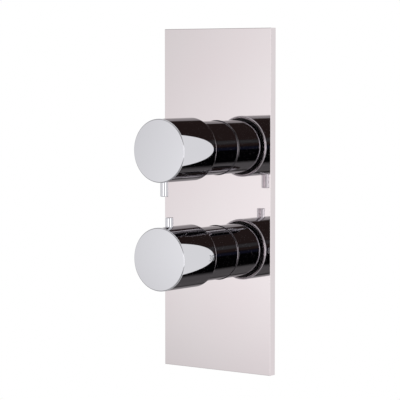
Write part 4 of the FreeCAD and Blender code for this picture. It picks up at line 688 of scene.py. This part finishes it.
# %% Cover plate
PLATE_SHEET = 2.5 * MM
PLATE_RIM = 2.5 * MM
PLATE_HOLE_GAP = 0.35 * MM
PLATE_EDGE = 0.6 * MM
SQUARE_DEGREES = 60


def block(name, low, high):
    """Box between two corners."""
    mesh = bmesh.new()
    bmesh.ops.create_cube(mesh, size=1)
    for vertex in mesh.verts:
        for axis in range(3):
            vertex.co[axis] = high[axis] if vertex.co[axis] > 0 else low[axis]
    data = bpy.data.meshes.new(name)
    mesh.to_mesh(data)
    mesh.free()
    made = bpy.data.objects.new(name, data)
    bpy.context.scene.collection.objects.link(made)
    return made


plate = block("polished_cover_plate", plate_low, plate_high)
rim = Vector((PLATE_RIM, 0, PLATE_RIM))
tray_low = plate_low + rim + Vector((0, PLATE_SHEET, 0))
tray_high = plate_high - rim + Vector((0, PLATE_SHEET, 0))
drill(plate, block("tray_tool", tray_low, tray_high))
for height in (UPPER, LOWER):
    hole = turned("hole_tool", [
        (0, plate_low.y - PLATE_SHEET, 0),
        (SLEEVE_RADIUS + PLATE_HOLE_GAP, plate_low.y - PLATE_SHEET, 0),
        (SLEEVE_RADIUS + PLATE_HOLE_GAP, plate_high.y, 0),
        (0, plate_high.y, 0),
    ])
    shift(hole, z=height)
    drill(plate, hole)
edges = plate.modifiers.new("polished_edges", "BEVEL")
edges.width = PLATE_EDGE
edges.segments = ARC_STEPS
edges.limit_method = "ANGLE"
edges.angle_limit = math.radians(SQUARE_DEGREES)
edges.harden_normals = True
plate.data.polygons.foreach_set("use_smooth", [True] * len(plate.data.polygons))
plate.data.materials.append(plate_chrome)
plate.data.materials.append(back_plating)
for face in plate.data.polygons:
    if face.normal.y > 0.5 and face.center.y > plate_low.y + PLATE_SHEET / 2:
        face.material_index = 1
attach(plate, "valve")
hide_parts("cover_plate")
print("plate", [round(v / MM, 1) for v in plate_high - plate_low], "mm")

# %% [markdown]
# Pipes screw into the four brass connectors, whose open ends show from behind. Inside is a
# real half-inch pipe thread, a groove that climbs one pitch per turn. A spring-like coil
# could be cut out of a tube, but such cuts are slow and fragile. On a round wall it is
# easier to let the radius depend on how far along and how far round a point is.

# %% Rings that aren't round
CONNECTOR_STEPS = 96
THREAD_LOW = 9.3 * MM
THREAD_HIGH = 10.45 * MM
THREAD_PITCH = 1.814 * MM
FLATS = 13.5 * MM


def wavy_ring(place, radius_at):
    """Ring of points at a place along the Y axis, with a radius for each turn."""
    turns = [2 * math.pi * step / CONNECTOR_STEPS for step in range(CONNECTOR_STEPS)]
    return [Vector((radius_at(turn) * math.cos(turn), place, radius_at(turn) * math.sin(turn)))
            for turn in turns]


def round_ring(place, radius):
    return wavy_ring(place, lambda turn: radius)


def hexagon_ring(place, limit):
    """Six flats, with corners no further out than a limit."""
    return wavy_ring(place, lambda turn: min(
        FLATS / math.cos(turn % (math.pi / 3) - math.pi / 6), limit))


def thread_ring(place, depth):
    """Slice of a thread; depth is 1 for a full groove and 0 for a plain wall."""
    def radius_at(turn):
        climb = (place / THREAD_PITCH - turn / (2 * math.pi)) % 1
        return THREAD_LOW + depth * (THREAD_HIGH - THREAD_LOW) * (1 - abs(2 * climb - 1))
    return wavy_ring(place, radius_at)


print("thread", round(25.4 * MM / THREAD_PITCH, 1), "turns per inch")

# %% [markdown]
# A connector is then one list of rings: the spigot that goes into the body, the spanner's
# hexagon with its corners turned off, the round end, its mouth, and back in through the
# thread, which fades out at its floor. The hexagon is the same on the real one, because a
# fitter has to hold it while the pipe goes in.

# %% Connectors
CONNECTOR_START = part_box("cold_inlet_connector")[0].x
CONNECTOR_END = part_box("cold_inlet_connector")[1].x
CONNECTOR_BORE = 7.6 * MM
SPIGOT = 10.45 * MM
HEXAGON_START = 39.5 * MM
HEXAGON_END = 46.5 * MM
HEXAGON_FACE = 13.6 * MM
HEXAGON_CORNER = 15.2 * MM
HEXAGON_TAPER = 0.9 * MM
ROUND_END = 13.3 * MM
THREAD_FLOOR = 43 * MM
SLICES_PER_PITCH = 8
INLET_DEPTH = depth_of("cold_inlet_connector")
OUTLET_DEPTH = depth_of("side_outlet_connector")
QUARTER = math.pi / 2


def connector(port, depth, height, axis, angle):
    """Threaded connector along the Y axis, then turned and moved to its port."""
    rings = [
        round_ring(CONNECTOR_START, CONNECTOR_BORE),
        round_ring(CONNECTOR_START, SPIGOT - EDGE),
        round_ring(CONNECTOR_START + EDGE, SPIGOT),
        round_ring(HEXAGON_START, SPIGOT),
        hexagon_ring(HEXAGON_START, HEXAGON_FACE),
        hexagon_ring(HEXAGON_START + HEXAGON_TAPER, HEXAGON_CORNER),
        hexagon_ring(HEXAGON_END - HEXAGON_TAPER, HEXAGON_CORNER),
        hexagon_ring(HEXAGON_END, HEXAGON_FACE),
        round_ring(HEXAGON_END, ROUND_END),
        round_ring(CONNECTOR_END - EDGE, ROUND_END),
        round_ring(CONNECTOR_END, ROUND_END - EDGE),
        round_ring(CONNECTOR_END, THREAD_HIGH + EDGE),
    ]
    start = CONNECTOR_END - EDGE - THREAD_PITCH / 4
    count = int((start - THREAD_FLOOR) / THREAD_PITCH * SLICES_PER_PITCH)
    for step in range(count + 1):
        place = start + (THREAD_FLOOR - start) * step / count
        rings.append(thread_ring(place, min(1, (place - THREAD_FLOOR) / THREAD_PITCH)))
    rings.append(round_ring(THREAD_FLOOR, CONNECTOR_BORE))
    made = skin(f"{port}_threaded_connector", rings, closed=True)
    made.data.transform(Matrix.Translation((0, depth, height)) @ Matrix.Rotation(angle, 4, axis))
    smooth(made)
    made.data.materials.append(turned_brass_finish)
    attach(made, "valve")
    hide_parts(f"{port}_connector")
    return made


connectors = [connector("cold_inlet", INLET_DEPTH, LOWER, "Z", -QUARTER),
              connector("hot_inlet", INLET_DEPTH, LOWER, "Z", QUARTER),
              connector("side_outlet", OUTLET_DEPTH, UPPER, "Z", -QUARTER),
              connector("top_outlet", OUTLET_DEPTH, UPPER, "X", QUARTER)]
print("connectors:", [len(made.data.polygons) for made in connectors], "faces")

# %% [markdown]
# The valve hangs on a wall with a floor well below. Both are stage, not object. The wall
# is plain white, also in the mirror of the chrome, and it shows from the room's side only:
# seen from behind, a ray passes through it and the part inside the wall is open to view.

# %% Floor and wall
FLOOR_DROP = 0.62
FLOOR_REACH = 30.0
WALL_REACH = 3.0
WALL_GAP = 0.6 * MM


def sheet_of(name, corners):
    """Flat four-cornered sheet."""
    data = bpy.data.meshes.new(name)
    data.from_pydata(corners, [], [(0, 1, 2, 3)])
    made = bpy.data.objects.new(name, data)
    bpy.context.scene.collection.objects.link(made)
    return made


floor = sheet_of("floor", [(x * FLOOR_REACH, y * FLOOR_REACH, -FLOOR_DROP)
                           for x, y in ((-1, -1), (1, -1), (1, 1), (-1, 1))])
wall = sheet_of("wall", [(x * WALL_REACH, WALL_GAP, z)
                         for x, z in ((-1, -FLOOR_DROP), (1, -FLOOR_DROP),
                                      (1, WALL_REACH), (-1, WALL_REACH))])
print("floor", FLOOR_DROP, "m below the middle of the plate")

# %% [markdown]
# The floor is pale and matt and keeps soft shadows near the object. Further out, what the
# camera sees of it turns to the white of the background, so that no edge shows. The chrome
# in the photograph mirrors a dark room below the valve, so mirrors don't see the floor.

# %% Floor finish
FLOOR_NEAR = 0.7
FLOOR_FAR = 2.2
WHITE = {"Color": (1, 1, 1, 1), "Strength": 1.0}

material, tree, shader = finish("pale_matt_floor", "#e9e8e6", roughness=0.8)
spot = add(tree, "ShaderNodeTexCoord")
away = add(tree, "ShaderNodeVectorMath", {"operation": "LENGTH"}, _0=spot.outputs["Object"])
fade = add(tree, "ShaderNodeMapRange",
           {"From Min": FLOOR_NEAR, "From Max": FLOOR_FAR, "interpolation_type": "SMOOTHSTEP"},
           Value=away.outputs["Value"])
path = add(tree, "ShaderNodeLightPath")
amount = add(tree, "ShaderNodeMath", {"operation": "MULTIPLY"}, _0=fade.outputs[0],
             _1=path.outputs["Is Camera Ray"])
white = add(tree, "ShaderNodeEmission", WHITE)
mixed = add(tree, "ShaderNodeMixShader", _0=amount.outputs[0], _1=shader.outputs[0],
            _2=white.outputs[0])
tree.links.new(mixed.outputs[0], tree.nodes["Material Output"].inputs["Surface"])
floor.data.materials.append(material)
floor.visible_glossy = False
print("the floor turns white from", FLOOR_NEAR, "to", FLOOR_FAR, "m away")

# %% [markdown]
# The wall gives off a plain white of strength one towards the room and lets light through
# from behind. A thin painted board would look the same from the front, but would hide the
# valve's body from every other side.

# %% Wall finish
material, tree, shader = finish("white_wall", "#ffffff", roughness=0.9)
facing = add(tree, "ShaderNodeNewGeometry")
white = add(tree, "ShaderNodeEmission", WHITE)
clear = add(tree, "ShaderNodeBsdfTransparent")
mixed = add(tree, "ShaderNodeMixShader", _0=facing.outputs["Backfacing"], _1=white.outputs[0],
            _2=clear.outputs[0])
tree.links.new(mixed.outputs[0], tree.nodes["Material Output"].inputs["Surface"])
wall.data.materials.append(material)
print("the wall faces", tuple(round(v) for v in wall.data.polygons[0].normal))

# %% [markdown]
# A mirror is only as good as what stands round it. Here the room is the world, and its
# brightness depends on the direction of a ray: across, along and up each run from minus
# one to one. Panels could be lamps or glowing sheets, but then they would also light the
# rubber and brass and cast shadows of their own. Three helpers draw the panels: a smooth
# step, a soft-edged patch, and a change of span.

# %% Directions and soft panels
world = bpy.data.worlds.new("studio")
bpy.context.scene.world = world
world.use_nodes = True
tree = world.node_tree
spot = add(tree, "ShaderNodeTexCoord")
direction = add(tree, "ShaderNodeSeparateXYZ", Vector=spot.outputs["Generated"])
across, along, up = direction.outputs


def between(value, low, high):
    """Smooth step from 0 at low to 1 at high; low may be the larger one."""
    if low < high:
        settings = {"From Min": low, "From Max": high}
    else:
        settings = {"From Min": high, "From Max": low, "To Min": 1.0, "To Max": 0.0}
    settings["interpolation_type"] = "SMOOTHSTEP"
    return add(tree, "ShaderNodeMapRange", settings, Value=value).outputs[0]


def combined(operation, one, other):
    return add(tree, "ShaderNodeMath", {"operation": operation}, _0=one, _1=other).outputs[0]


def patch(left=None, right=None, low=None, high=None):
    """Soft-edged area of the room; each edge is a pair, outside first and inside second."""
    value = None
    for source, edge in ((across, left), (across, right), (up, low), (up, high)):
        if edge:
            step = between(source, *edge)
            value = step if value is None else combined("MULTIPLY", value, step)
    return value


def scaled(value, low, high):
    """Bring a value of 0 to 1 into another span."""
    return add(tree, "ShaderNodeMapRange", {"To Min": low, "To Max": high}, Value=value).outputs[0]


print("directions:", [output.name for output in direction.outputs])

# %% [markdown]
# The plate and the knobs' fronts face a wide soft panel to the left of the camera, which
# makes them pale. It is brightest just below the middle and dimmer towards its left end,
# and so is the plate in the photograph, from the middle to the ends.

# %% Panel on the left
spread = patch(low=(-0.28, -0.08), high=(0.33, -0.10))
leftward = patch(left=(-0.70, -0.52))
tall = patch(right=(-0.30, -0.42), low=(-0.60, -0.34), high=(0.49, 0.42))
tall = combined("MULTIPLY", tall, scaled(spread, 0.3, 1.0))
tall = combined("MULTIPLY", tall, scaled(leftward, 0.82, 1.36))
print("the left panel ends", round(math.degrees(math.asin(0.42))), "degrees from straight ahead")

# %% [markdown]
# Round pieces mirror much more of the room. The pins show a panel in the middle with a
# bright window in its right half, and another on the right. The middle one is dimmer round
# the camera, so that the plate doesn't vanish when it is seen from straight in front.

# %% Panels in the middle and on the right
middle = patch(left=(-0.44, -0.30), right=(0.44, 0.34), low=(-0.36, -0.20), high=(0.30, 0.14))
round_camera = patch(left=(-0.16, -0.03), right=(0.16, 0.03), low=(-0.24, -0.06),
                     high=(0.24, 0.06))
middle = combined("MULTIPLY", middle, scaled(round_camera, 1.25, 0.6))
window = patch(left=(0.12, 0.18), right=(0.44, 0.36), low=(-0.30, -0.20), high=(0.22, 0.12))
window = scaled(window, 0.0, 2.8)
in_front = between(along, -0.07, -0.20)
side_panel = combined("MULTIPLY", patch(left=(0.66, 0.74)), in_front)
side_window = patch(left=(0.70, 0.77), low=(-0.40, -0.28), high=(0.34, 0.22))
side_window = combined("MULTIPLY", scaled(side_window, 0.0, 2.0), in_front)
print("the gap between the panels runs from 0.44 to 0.66 across")

# %% [markdown]
# Behind the valve everything is white, as the wall is, and so is the ceiling. Two faint
# glows give the undersides of knobs and sleeves their grey. At steep angles the room is a
# plain grey, so that chrome seen from above or from the side doesn't turn black.

# %% Rest of the room
behind = between(along, -0.15, 0.25)
ceiling = patch(low=(0.70, 0.92))
floor_glow = patch(left=(-0.40, -0.28), right=(0.30, 0.12), low=(-0.70, -0.60),
                   high=(-0.48, -0.54))
floor_glow = scaled(floor_glow, 0.0, 0.13)
far_glow = patch(left=(0.46, 0.52), right=(0.66, 0.60), low=(0.12, 0.20), high=(0.36, 0.28))
far_glow = scaled(far_glow, 0.0, 0.05)
sideways = add(tree, "ShaderNodeVectorMath", {"operation": "MULTIPLY", 1: (1, 0, 1)},
               _0=spot.outputs["Generated"])
sideways = add(tree, "ShaderNodeVectorMath", {"operation": "LENGTH"}, _0=sideways.outputs[0])
pale_room = scaled(between(sideways.outputs["Value"], 0.645, 0.73), 0.0, 0.40)
others = middle
for other in (window, side_panel, side_window, ceiling, behind, floor_glow, far_glow, pale_room):
    others = combined("MAXIMUM", others, other)
print("nodes in the room so far:", len(tree.nodes))

# %% [markdown]
# Between the panels the room is dark: brown above, nearly black below, and a trace of blue
# level with the valve on the right. The camera itself sees plain white instead.

# %% Dark of the room
ROOM_ABOVE = "#2f2624"
ROOM_BELOW = "#050506"
ROOM_LEVEL = "#1a1c29"


def mixed_colour(factor, one, other, blend="MIX"):
    """Mix two colours, given as codes or as another node's output."""
    made = add(tree, "ShaderNodeMix", {"data_type": "RGBA", "blend_type": blend})
    for place, source in ((0, factor), (6, one), (7, other)):
        if isinstance(source, str):
            made.inputs[place].default_value = shade(source)
        elif isinstance(source, float):
            made.inputs[place].default_value = source
        else:
            tree.links.new(source, made.inputs[place])
    return made.outputs[2]


dark = mixed_colour(between(up, -0.02, 0.10), ROOM_BELOW, ROOM_ABOVE)
level = patch(left=(0.50, 0.56), right=(0.72, 0.66), low=(-0.13, -0.06), high=(0.05, -0.01))
dark = mixed_colour(level, dark, ROOM_LEVEL)
light = mixed_colour(1.0, mixed_colour(1.0, dark, tall, "ADD"), others, "LIGHTEN")
path = add(tree, "ShaderNodeLightPath")
backdrop = add(tree, "ShaderNodeBackground", WHITE)
surroundings = add(tree, "ShaderNodeBackground", {"Strength": 1.0}, Color=light)
mixed = add(tree, "ShaderNodeMixShader", _0=path.outputs["Is Camera Ray"],
            _1=surroundings.outputs[0], _2=backdrop.outputs[0])
output = next(node for node in tree.nodes if node.type == "OUTPUT_WORLD")
tree.links.new(mixed.outputs[0], output.inputs["Surface"])
print("dark above", ROOM_ABOVE, "and below", ROOM_BELOW)

# %% [markdown]
# The lamps light what isn't a mirror: floor, rubber, plastic and the cast skin of the
# body. They are kept out of the chrome, which would show them as hard patches. Round area
# lamps far wider than the valve give soft shadows.

# %% Soft lamps
LAMP_WIDTH = 1.4


def soft_lamp(name, place, power):
    """Round lamp aimed at the middle of the plate, with its power in watts."""
    data = bpy.data.lights.new(name, "AREA")
    data.energy = power
    data.shape = "DISK"
    data.size = LAMP_WIDTH
    made = bpy.data.objects.new(name, data)
    bpy.context.scene.collection.objects.link(made)
    made.location = place
    made.rotation_euler = (-Vector(place)).to_track_quat("-Z", "Y").to_euler()
    made.visible_glossy = False
    made.visible_camera = False
    return made


soft_lamp("left_lamp", (-1.8, -2.0, 1.4), 55)
soft_lamp("right_lamp", (2.0, -1.6, 1.0), 25)
soft_lamp("rear_lamp", (1.2, 2.2, 1.2), 55)
